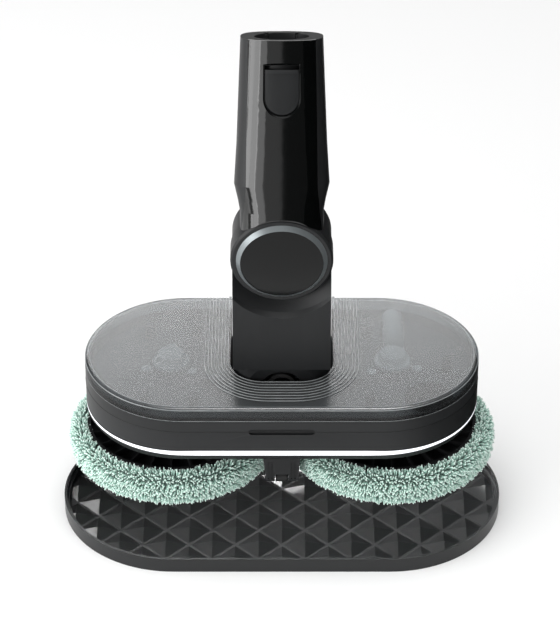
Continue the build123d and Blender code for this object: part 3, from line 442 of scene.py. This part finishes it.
MAKERS = {
    "tray_plastic": lambda: eroded_plastic("Black polypropylene", colours().tray, 0.33,
                                           1.1 * MM, 0.01, 0.4),
    "shell_black": lambda: eroded_plastic("Eroded black ABS", colours().shell, 0.46),
    "gloss_black": lambda: polished_plastic("Polished black ABS", colours().gloss),
    "smoked_clear": lambda: smoked_polycarbonate("Smoked polycarbonate", colours().smoke),
    "led_white": lambda: opal_diffuser("Opal acrylic"),
    "trim_satin": lambda: satin_paint("Satin grey paint", colours().trim),
    "rubber_black": lambda: soft_rubber("Black elastomer", "#1B1B1B"),
    "steel": lambda: drawn_steel("Drawn steel", "#B9BCC0", 0.28),
    "motor_steel": lambda: drawn_steel("Zinc plated steel", "#9AA0A4", 0.36, (1, 1, 3)),
    "nylon": lambda: moulded_nylon("Natural nylon", "#E4DFCF"),
    "board_green": lambda: circuit_laminate("Solder mask laminate"),
    "hose_clear": lambda: milky_silicone("Milky silicone"),
    "microfibre_mint": lambda: microfibre("Mint microfibre", colours().pile, colours().pile_tip_highlight),
    "loop_backing": lambda: loop_fleece("Grey loop knit", "#4A5050"),
    "tank_floor": lambda: tank_base_plastic("Moulded tank floor", colours().shell, "#505355"),
    "tank_fitting": lambda: polished_plastic("Moulded vent", "#A9AEB0", 0.32, 0.5),
    # Dark bearing-cover frames, and painted shade along the base's parting groove.
    "line_dark": lambda: soft_rubber("Dark gap seal", "#070708"),
    # Pale beads painted as highlights along the cover's ribs, rims and seam.
    "clear_rib": lambda: painted_rib_highlight("Clear polycarbonate rib"),
    "cap_gloss": lambda: polished_plastic("Polished cap", colours().gloss, 0.12, 0.22),
}
OWN_FINISH = {"swivel_cap": "cap_gloss", "tank_lower_shell": "tank_floor",
              "tank_valve": "shell_black", "tank_posts": "shell_black"}


def material_for(slot):
    """The material of one record slot, made once."""
    name = "slot." + slot
    found = bpy.data.materials.get(name)
    if found is None:
        found = MAKERS[slot]()
        found.name = name
    return found


# ---------------------------------------------------------------- mesh helpers
def new_object(name, mesh):
    """A mesh object linked to the scene at the origin."""
    made = bpy.data.objects.new(name, mesh)
    bpy.context.scene.collection.objects.link(made)
    return made


def smooth(made):
    """Smooth shading on every face."""
    for polygon in made.data.polygons:
        polygon.use_smooth = True


def turned(name, profile, centre, steps=96, along_y=False):
    """A mesh turned from (radius, distance) points, about the upright line through centre.

    With along_y the line lies along Y instead, and centre is its X and Z."""
    bm = bmesh.new()
    rings = []
    for radius, distance in profile:
        ring = []
        for i in range(steps if radius > 1e-6 else 1):
            a = 2 * math.pi * i / steps
            across = centre[0] + radius * math.cos(a) if radius > 1e-6 else centre[0]
            up = centre[1] + radius * math.sin(a) if radius > 1e-6 else centre[1]
            ring.append(bm.verts.new((across, distance, up) if along_y else (across, up, distance)))
        rings.append(ring)
    for low, high in zip(rings, rings[1:]):
        for i in range(steps):
            j = (i + 1) % steps
            corners = [low[i % len(low)], low[j % len(low)], high[j % len(high)], high[i % len(high)]]
            unique = list(dict.fromkeys(corners))
            if len(unique) > 2:
                bm.faces.new(unique)
    bmesh.ops.recalc_face_normals(bm, faces=bm.faces)
    mesh = bpy.data.meshes.new(name)
    bm.to_mesh(mesh)
    bm.free()
    return new_object(name, mesh)


def evaluated_mesh(made, name):
    """The object's evaluated result as a plain mesh."""
    graph = bpy.context.evaluated_depsgraph_get()
    graph.update()
    mesh = bpy.data.meshes.new_from_object(made.evaluated_get(graph))
    mesh.name = name
    return mesh


def run_tree(source, tree, values, name):
    """Runs a geometry tree on an object, its named inputs set, and returns a plain mesh."""
    modifier = source.modifiers.new(tree.name, "NODES")
    modifier.node_group = tree
    for item in tree.interface.items_tree:
        if item.in_out == "INPUT" and item.name in values:
            modifier[item.identifier] = values[item.name]
    mesh = evaluated_mesh(source, name)
    source.modifiers.remove(modifier)
    return mesh


# ---------------------------------------------------------------- pads
def strand_mesh(name, bend, lean_seed):
    """One chenille strand: a bent soft tube standing on +Z, unit length, unit radius."""
    rings = [(0.0, 0.7), (0.5, 0.95), (0.88, 0.9)]
    sides = 4
    rng = random.Random(lean_seed)
    twist = rng.uniform(0, 2 * math.pi)
    bm = bmesh.new()
    heights = bm.verts.layers.float.new("pile_height")
    loops = []
    for height, radius in rings:
        off = bend * height * height
        ring = []
        for i in range(sides):
            a = twist + 2 * math.pi * i / sides + height * 0.8
            vert = bm.verts.new((radius * math.cos(a) + off, radius * math.sin(a), height))
            vert[heights] = height
            ring.append(vert)
        loops.append(ring)
    tip = bm.verts.new((bend, 0, 1.0))
    tip[heights] = 1.0
    for low, high in zip(loops, loops[1:]):
        for i in range(sides):
            j = (i + 1) % sides
            bm.faces.new((low[i], low[j], high[j], high[i]))
    for i in range(sides):
        bm.faces.new((loops[-1][i], loops[-1][(i + 1) % sides], tip))
    for face in bm.faces:
        face.smooth = True
    mesh = bpy.data.meshes.new(name)
    bm.to_mesh(mesh)
    bm.free()
    return mesh


def pile_tree(strands, material):
    """Strands scattered over a surface, each leaning and turned a little differently."""
    tree = bpy.data.node_groups.new("Chenille pile", "GeometryNodeTree")
    face = tree.interface
    face.new_socket("Geometry", in_out="INPUT", socket_type="NodeSocketGeometry")
    for name, kind in (("Spacing", "NodeSocketFloat"), ("Length", "NodeSocketFloat"),
                       ("Radius", "NodeSocketFloat"), ("Lean", "NodeSocketFloat"),
                       ("Droop", "NodeSocketFloat"), ("Seed", "NodeSocketInt")):
        face.new_socket(name, in_out="INPUT", socket_type=kind)
    face.new_socket("Geometry", in_out="OUTPUT", socket_type="NodeSocketGeometry")
    given = tree.nodes.new("NodeGroupInput").outputs
    output = tree.nodes.new("NodeGroupOutput")
    scatter = add(tree, "GeometryNodeDistributePointsOnFaces", {"distribute_method": "POISSON"}, {
        "Mesh": given["Geometry"], "Distance Min": given["Spacing"], "Density Max": 3.0e6,
        "Seed": given["Seed"]})
    jitter = add(tree, "FunctionNodeRandomValue", {"data_type": "FLOAT_VECTOR"}, {
        0: (-1, -1, -1), 1: (1, 1, 1), "Seed": given["Seed"]})
    lean = add(tree, "ShaderNodeVectorMath", {"operation": "SCALE"},
               {0: jitter.outputs[0], "Scale": given["Lean"]})
    down = add(tree, "ShaderNodeCombineXYZ", None, {"Z": given["Droop"]})
    aim = add(tree, "ShaderNodeVectorMath", {"operation": "ADD"},
              {0: scatter.outputs["Normal"], 1: lean.outputs[0]})
    aim_down = add(tree, "ShaderNodeVectorMath", {"operation": "ADD"},
                   {0: aim.outputs[0], 1: down.outputs[0]})
    turn = add(tree, "FunctionNodeAlignRotationToVector", {"axis": "Z"}, {"Vector": aim_down.outputs[0]})
    roll = add(tree, "FunctionNodeRandomValue", {"data_type": "FLOAT"}, {2: 0.0, 3: 6.283, "Seed": 11})
    roll_axis = add(tree, "ShaderNodeCombineXYZ", None, {"Z": roll.outputs[1]})
    spun = add(tree, "FunctionNodeRotateRotation", {"rotation_space": "LOCAL"},
               {0: turn.outputs[0], 1: roll_axis.outputs[0]})
    long = add(tree, "FunctionNodeRandomValue", {"data_type": "FLOAT"}, {2: 0.72, 3: 1.12, "Seed": 5})
    length = add(tree, "ShaderNodeMath", {"operation": "MULTIPLY"},
                 {0: long.outputs[1], 1: given["Length"]})
    size = add(tree, "ShaderNodeCombineXYZ", None,
               {"X": given["Radius"], "Y": given["Radius"], "Z": length.outputs[0]})
    tint = add(tree, "FunctionNodeRandomValue", {"data_type": "FLOAT"}, {2: 0.0, 3: 1.0, "Seed": 3})
    stored = add(tree, "GeometryNodeStoreNamedAttribute", {"data_type": "FLOAT", "domain": "POINT"}, {
        "Geometry": scatter.outputs["Points"], "Name": "pile_tint", "Value": tint.outputs[1]})
    kinds = add(tree, "GeometryNodeCollectionInfo", None, {
        "Collection": strands, "Separate Children": True, "Reset Children": True})
    pick = add(tree, "FunctionNodeRandomValue", {"data_type": "INT"}, {4: 0, 5: 3, "Seed": 17})
    placed = add(tree, "GeometryNodeInstanceOnPoints", None, {
        "Points": stored.outputs["Geometry"], "Instance": kinds.outputs["Instances"],
        "Pick Instance": True, "Instance Index": pick.outputs[2],
        "Rotation": spun.outputs[0], "Scale": size.outputs[0]})
    real = add(tree, "GeometryNodeRealizeInstances", None, {"Geometry": placed.outputs["Instances"]})
    painted = add(tree, "GeometryNodeSetMaterial", None,
                  {"Geometry": real.outputs["Geometry"], "Material": material})
    tree.links.new(painted.outputs["Geometry"], output.inputs["Geometry"])
    return tree


def pile_profiles():
    """Root lines of the strands: the edge band and the scrubbing face, as (radius, height)."""
    low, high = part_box("right_pad_pile")
    radius = (high.x - low.x) / 2
    reach = sizes().strand_length * 0.82
    outer = radius - reach
    bottom = low.z + reach
    top = high.z + 2.6 * MM
    shoulder = 4.6 * MM
    band = []
    for turn in (-90, -68, -45, -22, 0):
        a = math.radians(turn)
        band.append((outer - shoulder + shoulder * math.cos(a),
                     bottom + shoulder + shoulder * math.sin(a)))
    for turn in (0, 25, 50, 75, 100, 125):
        a = math.radians(turn)
        band.append((outer - shoulder + shoulder * math.cos(a),
                     top - shoulder + shoulder * math.sin(a)))
    face = [(0.0, bottom), band[0]]
    return band, face


def grow_pile(source, tree, spacing, length, lean, droop, seed):
    """Runs the pile tree on an object and returns the strands as a mesh."""
    values = {"Spacing": spacing, "Length": length, "Radius": sizes().strand_radius,
              "Lean": lean, "Droop": droop, "Seed": seed}
    return run_tree(source, tree, values, source.name + ".strands")


def strand_collection():
    """The strand shapes the pile picks from, kept out of the scene."""
    kinds = bpy.data.collections.new("Strand kinds")
    for i, bend in enumerate((0.7, 1.2, -0.9, 0.2)):
        made = bpy.data.objects.new(f"strand_{i}", strand_mesh(f"strand_{i}", bend, 31 + i))
        kinds.objects.link(made)
    return kinds


class SCRUBBER_OT_pads(bpy.types.Operator):
    """Grow the microfibre pile of both pads"""
    bl_idname = "scrubber.pads"
    bl_label = "Microfibre pads"

    def execute(self, context):
        material = material_for("microfibre_mint")
        kinds = strand_collection()
        tree = pile_tree(kinds, material)
        band, face = pile_profiles()
        set_up = sizes()
        for side in ("left", "right"):
            low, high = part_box(side + "_pad_pile")
            centre = ((low.x + high.x) / 2, (low.y + high.y) / 2)
            edge = turned(side + "_edge_roots", band, centre)
            under = turned(side + "_face_roots", face, centre)
            for polygon in under.data.polygons:
                if polygon.normal.z > 0:
                    under.data.flip_normals()
                    break
            pieces = [
                grow_pile(edge, tree, set_up.side_spacing, set_up.strand_length, 0.42, -0.12,
                          set_up.strand_seed),
                grow_pile(under, tree, set_up.face_spacing, set_up.strand_length, 0.5, 0.0,
                          set_up.strand_seed + 1)]
            bm = bmesh.new()
            for mesh in pieces:
                bm.from_mesh(mesh)
            joined = bpy.data.meshes.new(side + "_pile_strands")
            bm.to_mesh(joined)
            bm.free()
            joined.materials.append(material)
            strands = new_object(side + "_pile_strands", joined)
            smooth(strands)
            lit_group("Lit with pads").objects.link(strands)
            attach(strands, side + "_pad")
            self.make_core(side, centre, band, low, high)
            for source in (edge, under):
                bpy.data.objects.remove(source)
        return {"FINISHED"}

    def make_core(self, side, centre, band, low, high):
        """The dense base cloth that the strands stand on."""
        inset = 0.4 * MM
        inner_top = high.z - 4.2 * MM
        wall = band[-1][0] - 0.4 * MM
        profile = [(0.0, band[0][1] + inset)]
        profile += [(r - inset, max(z, band[0][1] + inset)) for r, z in band]
        profile += [(wall, band[-1][1] - inset), (wall, inner_top), (0.0, inner_top)]
        core = turned(side + "_microfibre_pad", profile, centre)
        # The core carries no pile_height, so it takes the ramp's darkest stop: painted shade beneath the
        # strands.
        core.data.materials.append(material_for("microfibre_mint"))
        smooth(core)
        lit_group("Lit with pads").objects.link(core)
        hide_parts(side + "_pad_pile")
        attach(core, side + "_pad")


# ---------------------------------------------------------------- lines that follow a path
def bead_tree(material):
    """A round bead of the given radius swept along every curve of the object."""
    tree = bpy.data.node_groups.new("Bead " + material.name, "GeometryNodeTree")
    face = tree.interface
    face.new_socket("Geometry", in_out="INPUT", socket_type="NodeSocketGeometry")
    face.new_socket("Radius", in_out="INPUT", socket_type="NodeSocketFloat")
    face.new_socket("Geometry", in_out="OUTPUT", socket_type="NodeSocketGeometry")
    given = tree.nodes.new("NodeGroupInput").outputs
    output = tree.nodes.new("NodeGroupOutput")
    profile = add(tree, "GeometryNodeCurvePrimitiveCircle", {"mode": "RADIUS"},
                  {"Resolution": 6, "Radius": given["Radius"]})
    swept = add(tree, "GeometryNodeCurveToMesh", None, {
        "Curve": given["Geometry"], "Profile Curve": profile.outputs["Curve"], "Fill Caps": True})
    real = add(tree, "GeometryNodeRealizeInstances", None, {"Geometry": swept.outputs["Mesh"]})
    painted = add(tree, "GeometryNodeSetMaterial", None,
                  {"Geometry": real.outputs["Geometry"], "Material": material})
    tree.links.new(painted.outputs["Geometry"], output.inputs["Geometry"])
    return tree


def bead(name, paths, radius, body, finish):
    """Beads along paths, each a list of points and whether it closes, made one plain mesh."""
    curve = bpy.data.curves.new(name, "CURVE")
    curve.dimensions = "3D"
    for points, closed in paths:
        spline = curve.splines.new("POLY")
        spline.points.add(len(points) - 1)
        for point, place in zip(spline.points, points):
            point.co = (*place, 1.0)
        spline.use_cyclic_u = closed
    source = new_object(name + "_path", curve)
    material = material_for(finish)
    mesh = run_tree(source, bead_tree(material), {"Radius": radius}, name)
    bpy.data.objects.remove(source)
    mesh.materials.clear()
    mesh.materials.append(material)
    made = new_object(name, mesh)
    smooth(made)
    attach(made, body)
    lit_group("Lit with " + body).objects.link(made)
    return made


def stadium(half_length, half_depth, height, inset=0.0, steps=40):
    """Points round a stadium outline, anticlockwise, open at the back where the notch is."""
    r = half_depth - inset
    straight = half_length - half_depth
    points = [(-NOTCH_HALF, r, height)]
    for side, start in ((-1, math.pi / 2), (1, -math.pi / 2)):
        for i in range(steps + 1):
            a = start + math.pi * i / steps
            points.append((side * straight + r * math.cos(a), r * math.sin(a), height))
    points.append((NOTCH_HALF, r, height))
    return points


def notch_path(side, front, back, height, steps=14):
    """The U-shaped line round the neck, from the back left to the back right."""
    half = NOTCH_HALF + side
    low = NOTCH_FRONT - front
    corner = NOTCH_CORNER + (side + front) / 2
    points = [(-half, back, height)]
    for i in range(steps + 1):
        a = math.pi + math.pi / 2 * i / steps
        points.append((-half + corner + corner * math.cos(a),
                       low + corner + corner * math.sin(a), height))
    for i in range(steps + 1):
        a = -math.pi / 2 + math.pi / 2 * i / steps
        points.append((half - corner + corner * math.cos(a),
                       low + corner + corner * math.sin(a), height))
    points.append((half, back, height))
    return points


def lathed_join(name, parts, body, finish):
    """Turned forms, each a profile and a centre, joined in one piece."""
    bm = bmesh.new()
    for profile, centre in parts:
        made = turned(name + "_part", profile, centre, 40)
        bm.from_mesh(made.data)
        bpy.data.objects.remove(made)
    mesh = bpy.data.meshes.new(name)
    bm.to_mesh(mesh)
    bm.free()
    mesh.materials.append(material_for(finish))
    joined = new_object(name, mesh)
    for polygon in joined.data.polygons:
        polygon.use_smooth = abs(polygon.normal.z) < 0.98
    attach(joined, body)
    lit_group("Lit with " + body).objects.link(joined)
    lit_group("Lit with tank floor").objects.link(joined)
    return joined


class SCRUBBER_OT_tank_lines(bpy.types.Operator):
    """Lay the cover's rib, rim and seam beads, pale as painted highlights, and a black bead of painted
    shade along the base's parting groove
    """
    bl_idname = "scrubber.tank_lines"
    bl_label = "Cover rib highlights and seams"

    def execute(self, context):
        low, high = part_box("tank_cover")
        half, deep = high.x, high.y
        lid = high.z - 0.35 * MM
        # Rib, rim and seam beads are pale: painted highlights where those clear edges catch the light.
        ribs = [(notch_path((1.2 + 2.35 * i) * MM + 0.35 * MM, (1.2 + 3.3 * i) * MM + 0.35 * MM,
                            deep - 2.2 * MM, lid + 0.30 * MM), False) for i in range(RIBS)]
        bead("cover_rib_lines", ribs, 0.30 * MM, "tank", "clear_rib")
        rims = [(stadium(half, deep, lid - 1.5 * MM, 0.35 * MM), False),
                (stadium(half, deep, lid - 0.4 * MM, 3.4 * MM), False)]
        bead("cover_rim_lines", rims, 0.36 * MM, "tank", "clear_rib")
        seam = low.z
        bead("cover_seam_line", [(stadium(half, deep, seam, 0.12 * MM), False)], 0.22 * MM,
             "tank", "clear_rib")
        base_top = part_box("tank_lower_shell")[0].z
        # A black bead of painted shade where the parting groove between the tank and its base falls
        # dark.
        bead("base_parting_line", [(stadium(half, deep, base_top, 0.10 * MM), False)], 0.32 * MM,
             "tank", "line_dark")
        return {"FINISHED"}


class SCRUBBER_OT_tank_fittings(bpy.types.Operator):
    """Stand the vents, the filling pipe and the bearing covers inside the tank"""
    bl_idname = "scrubber.tank_fittings"
    bl_label = "Fittings inside the tank"

    def execute(self, context):
        floor = TANK_FLOOR
        dome = [(0.0, floor), (13.5 * MM, floor), (13.5 * MM, floor + 4.2 * MM),
                (12.6 * MM, floor + 5.2 * MM), (10.6 * MM, floor + 5.6 * MM),
                (10.2 * MM, floor + 10.0 * MM), (9.0 * MM, floor + 11.2 * MM),
                (4.0 * MM, floor + 11.9 * MM), (0.0, floor + 12.0 * MM)]
        ear = [(0.0, floor), (3.6 * MM, floor), (3.6 * MM, floor + 3.0 * MM),
               (2.9 * MM, floor + 3.6 * MM), (1.4 * MM, floor + 3.6 * MM),
               (1.4 * MM, floor + 2.4 * MM), (0.0, floor + 2.4 * MM)]
        for side, name in ((-1, "left"), (1, "right")):
            x, y = side * VENT_X, VENT_Y
            parts = [(dome, (x, y))]
            for turn in (205, 322, 90):
                a = math.radians(turn if side < 0 else 180 - turn)
                parts.append((ear, (x + 19.5 * MM * math.cos(a), y + 19.5 * MM * math.sin(a))))
            lathed_join(name + "_vent", parts, "tank", "tank_fitting")
        self.pipe()
        frames = []
        for side in (-1, 1):
            near, far = side * BOX_NEAR, side * BOX_FAR
            corners = [(near, BOX_FRONT), (far, BOX_FRONT), (far, BOX_BACK), (near, BOX_BACK)]
            frames += [([(x, y, z) for x, y in corners], True)
                       for z in (floor + 0.6 * MM, floor + BOX_HEIGHT)]
            frames += [([(x, y, floor), (x, y, floor + BOX_HEIGHT)], False) for x, y in corners]
        bead("bearing_cover_edges", frames, 0.55 * MM, "tank", "line_dark")
        return {"FINISHED"}

    def pipe(self):
        """The lying filling pipe behind the right vent, with a domed end."""
        profile = [(0.0, 62.0), (5.0, 61.6), (7.0, 60.2), (7.6, 58.0), (7.6, 24.0), (0.0, 24.0)]
        made = turned("filling_pipe", [(r * MM, y * MM) for r, y in profile], (PIPE_X, PIPE_HEIGHT), 36,
                      along_y=True)
        made.data.materials.append(material_for("tank_fitting"))
        smooth(made)
        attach(made, "tank")
        lit_group("Lit with tank").objects.link(made)
        lit_group("Lit with tank floor").objects.link(made)


# ---------------------------------------------------------------- casings
class SCRUBBER_OT_finishes(bpy.types.Operator):
    """Give every moulded, turned and pressed part its finish"""
    bl_idname = "scrubber.finishes"
    bl_label = "Part finishes"

    def execute(self, context):
        slots = {part["node"]: part["material_slot"] for part in frame["record"]["subparts"]}
        for name, node in NODES.items():
            node.data.materials.clear()
            node.data.materials.append(material_for(OWN_FINISH.get(name, slots[name])))
            smooth(node)
        return {"FINISHED"}


# ---------------------------------------------------------------- stage
def area_light(name, place, target, width, height, watts, colour=(1, 1, 1)):
    """A soft box aimed at a point."""
    light = bpy.data.lights.new(name, "AREA")
    light.shape = "RECTANGLE"
    light.size = width
    light.size_y = height
    light.energy = watts
    light.color = colour
    made = bpy.data.objects.new(name, light)
    made.location = place
    aim = Vector(target) - Vector(place)
    made.rotation_euler = aim.to_track_quat("-Z", "Y").to_euler()
    made.visible_camera = False
    bpy.context.scene.collection.objects.link(made)
    return made


def lit_group(name, nodes=()):
    """The collection of objects that a linked soft box lights, made once."""
    group = bpy.data.collections.get(name)
    if group is None:
        group = bpy.data.collections.new(name)
        for node in nodes:
            group.objects.link(NODES[node])
    return group


class SCRUBBER_OT_stage(bpy.types.Operator):
    """Lay the floor, hang the soft boxes and set the camera"""
    bl_idname = "scrubber.stage"
    bl_label = "Stage"

    def execute(self, context):
        self.floor()
        self.lights()
        self.world()
        self.camera()
        context.scene.view_settings.view_transform = "Standard"
        return {"FINISHED"}

    def floor(self):
        half = sizes().floor_size / 2
        mesh = bpy.data.meshes.new("floor")
        mesh.from_pydata([(-half, -half, 0), (half, -half, 0), (half, half, 0), (-half, half, 0)],
                         [], [(0, 1, 2, 3)])
        floor = new_object("floor", mesh)
        material, tree, output = blank_material("Pale floor")
        surface = add(tree, "ShaderNodeBsdfDiffuse", None, {"Color": (0.85, 0.85, 0.85, 1)})
        tree.links.new(surface.outputs["BSDF"], output.inputs["Surface"])
        mesh.materials.append(material)
        card = bpy.data.meshes.new("flag")
        card.from_pydata([(0.185, -0.5, 0.001), (0.185, 0.5, 0.001),
                          (0.5, 0.5, 0.75), (0.5, -0.5, 0.75)], [], [(0, 1, 2, 3)])
        flag = new_object("flag", card)
        dark, tree, output = blank_material("Black flag")
        cloth = add(tree, "ShaderNodeBsdfDiffuse", None, {"Color": (0.002, 0.002, 0.002, 1)})
        tree.links.new(cloth.outputs["BSDF"], output.inputs["Surface"])
        card.materials.append(dark)
        flag.visible_camera = False
        flag.visible_diffuse = False
        flag.visible_shadow = False
        flag.visible_transmission = False

    def lights(self):
        tank = frame["record"]["behaviour"]["bodies"]["tank"]
        for i, (height, watts) in enumerate(BACK_BOXES):
            back = area_light(f"back box {i}", (-0.30, 1.75, height), (0, 0, 0.12), 1.6, 0.18, watts)
            back.light_linking.receiver_collection = lit_group("Lit with tank", tank)
        area_light("top box", (0.1, -0.35, 3.0), (0, 0, 0), 2.6, 2.6, 74)
        for i, (azimuth, watts) in enumerate(FAN_BOXES):
            turn = math.radians(azimuth)
            place = (FAN_RADIUS * math.sin(turn), -FAN_RADIUS * math.cos(turn), FAN_HEIGHT)
            area_light(f"fan box {i}", place, (0, 0, 0.26), 0.78, 1.0, watts)
        inside = area_light("tank box", (0.2, -0.2, 1.6), (0, 0, 0.12), 0.8, 0.8, 60)
        inside.light_linking.receiver_collection = lit_group("Lit with tank floor", tank)
        fill = area_light("pad fill", (-0.4, -1.9, 1.0), (0, -0.05, 0.06), 1.2, 0.8, 13)
        fill.light_linking.receiver_collection = lit_group("Lit with pads")
        sun = bpy.data.lights.new("floor sun", "SUN")
        sun.energy = 0.22
        sun.angle = math.radians(50)
        made = bpy.data.objects.new("floor sun", sun)
        bpy.context.scene.collection.objects.link(made)
        made.light_linking.receiver_collection = lit_group("Lit with floor")
        made.light_linking.receiver_collection.objects.link(bpy.data.objects["floor"])
        studs = area_light("stud box", (-0.261, 0.503, 0.777), (0, -0.07, 0), 0.62, 0.10, 0.45)
        studs.data.spread = math.radians(14)
        studs.light_linking.receiver_collection = lit_group("Lit with studs", ["storage_tray"])
        studs.light_linking.blocker_collection = lit_group("Lit with studs")

    def world(self):
        world = bpy.data.worlds.new("Soft studio")
        bpy.context.scene.world = world
        world.use_nodes = True
        tree = world.node_tree
        tree.nodes.clear()
        output = tree.nodes.new("ShaderNodeOutputWorld")
        path = add(tree, "ShaderNodeLightPath")
        soft = add(tree, "ShaderNodeBackground", None, {"Color": (1, 1, 1, 1), "Strength": 0.34})
        dark = add(tree, "ShaderNodeBackground", None, {"Color": (1, 1, 1, 1), "Strength": 0.07})
        bright = add(tree, "ShaderNodeBackground", None, {"Color": (1, 1, 1, 1), "Strength": 1.0})
        unseen = add(tree, "ShaderNodeMixShader", None, {
            0: path.outputs["Is Glossy Ray"], 1: soft.outputs[0], 2: dark.outputs[0]})
        mixed = add(tree, "ShaderNodeMixShader", None, {
            0: path.outputs["Is Camera Ray"], 1: unseen.outputs[0], 2: bright.outputs[0]})
        tree.links.new(mixed.outputs[0], output.inputs["Surface"])

    def camera(self):
        pitch = math.radians(33.52)
        distance = 2.0
        aim_height = 0.1695
        lens = bpy.data.cameras.new("camera")
        lens.sensor_width = 36.0
        lens.lens = 164.4
        lens.shift_x = -0.0029
        lens.clip_end = 50
        made = bpy.data.objects.new("camera", lens)
        made.location = (0, -distance * math.cos(pitch), aim_height + distance * math.sin(pitch))
        made.rotation_euler = (math.pi / 2 - pitch, 0, 0)
        bpy.context.scene.collection.objects.link(made)
        bpy.context.scene.camera = made


# ---------------------------------------------------------------- panel and run
OPERATORS = (SCRUBBER_OT_stage, SCRUBBER_OT_finishes, SCRUBBER_OT_pads, SCRUBBER_OT_tank_lines,
             SCRUBBER_OT_tank_fittings)


class SCRUBBER_PT_panel(bpy.types.Panel):
    """The scrubber's pieces"""
    bl_label = "Scrubber"
    bl_idname = "SCRUBBER_PT_panel"
    bl_space_type = "VIEW_3D"
    bl_region_type = "UI"
    bl_category = "Scrubber"

    def draw(self, context):
        for operator in OPERATORS:
            self.layout.operator(operator.bl_idname)
        for group in (context.scene.scrubber_sizes, context.scene.scrubber_colours):
            for key in group.bl_rna.properties.keys():
                if key not in ("rna_type", "name"):
                    self.layout.prop(group, key)


CLASSES = (ScrubberSizes, ScrubberColours, *OPERATORS, SCRUBBER_PT_panel)


def register():
    for made in CLASSES:
        bpy.utils.register_class(made)
    bpy.types.Scene.scrubber_sizes = bpy.props.PointerProperty(type=ScrubberSizes)
    bpy.types.Scene.scrubber_colours = bpy.props.PointerProperty(type=ScrubberColours)


def unregister():
    del bpy.types.Scene.scrubber_colours
    del bpy.types.Scene.scrubber_sizes
    for made in reversed(CLASSES):
        bpy.utils.unregister_class(made)


def main():
    register()
    bpy.ops.scrubber.stage()
    bpy.ops.scrubber.finishes()
    bpy.ops.scrubber.pads()
    bpy.ops.scrubber.tank_lines()
    bpy.ops.scrubber.tank_fittings()


if __name__ == "__main__":
    main()
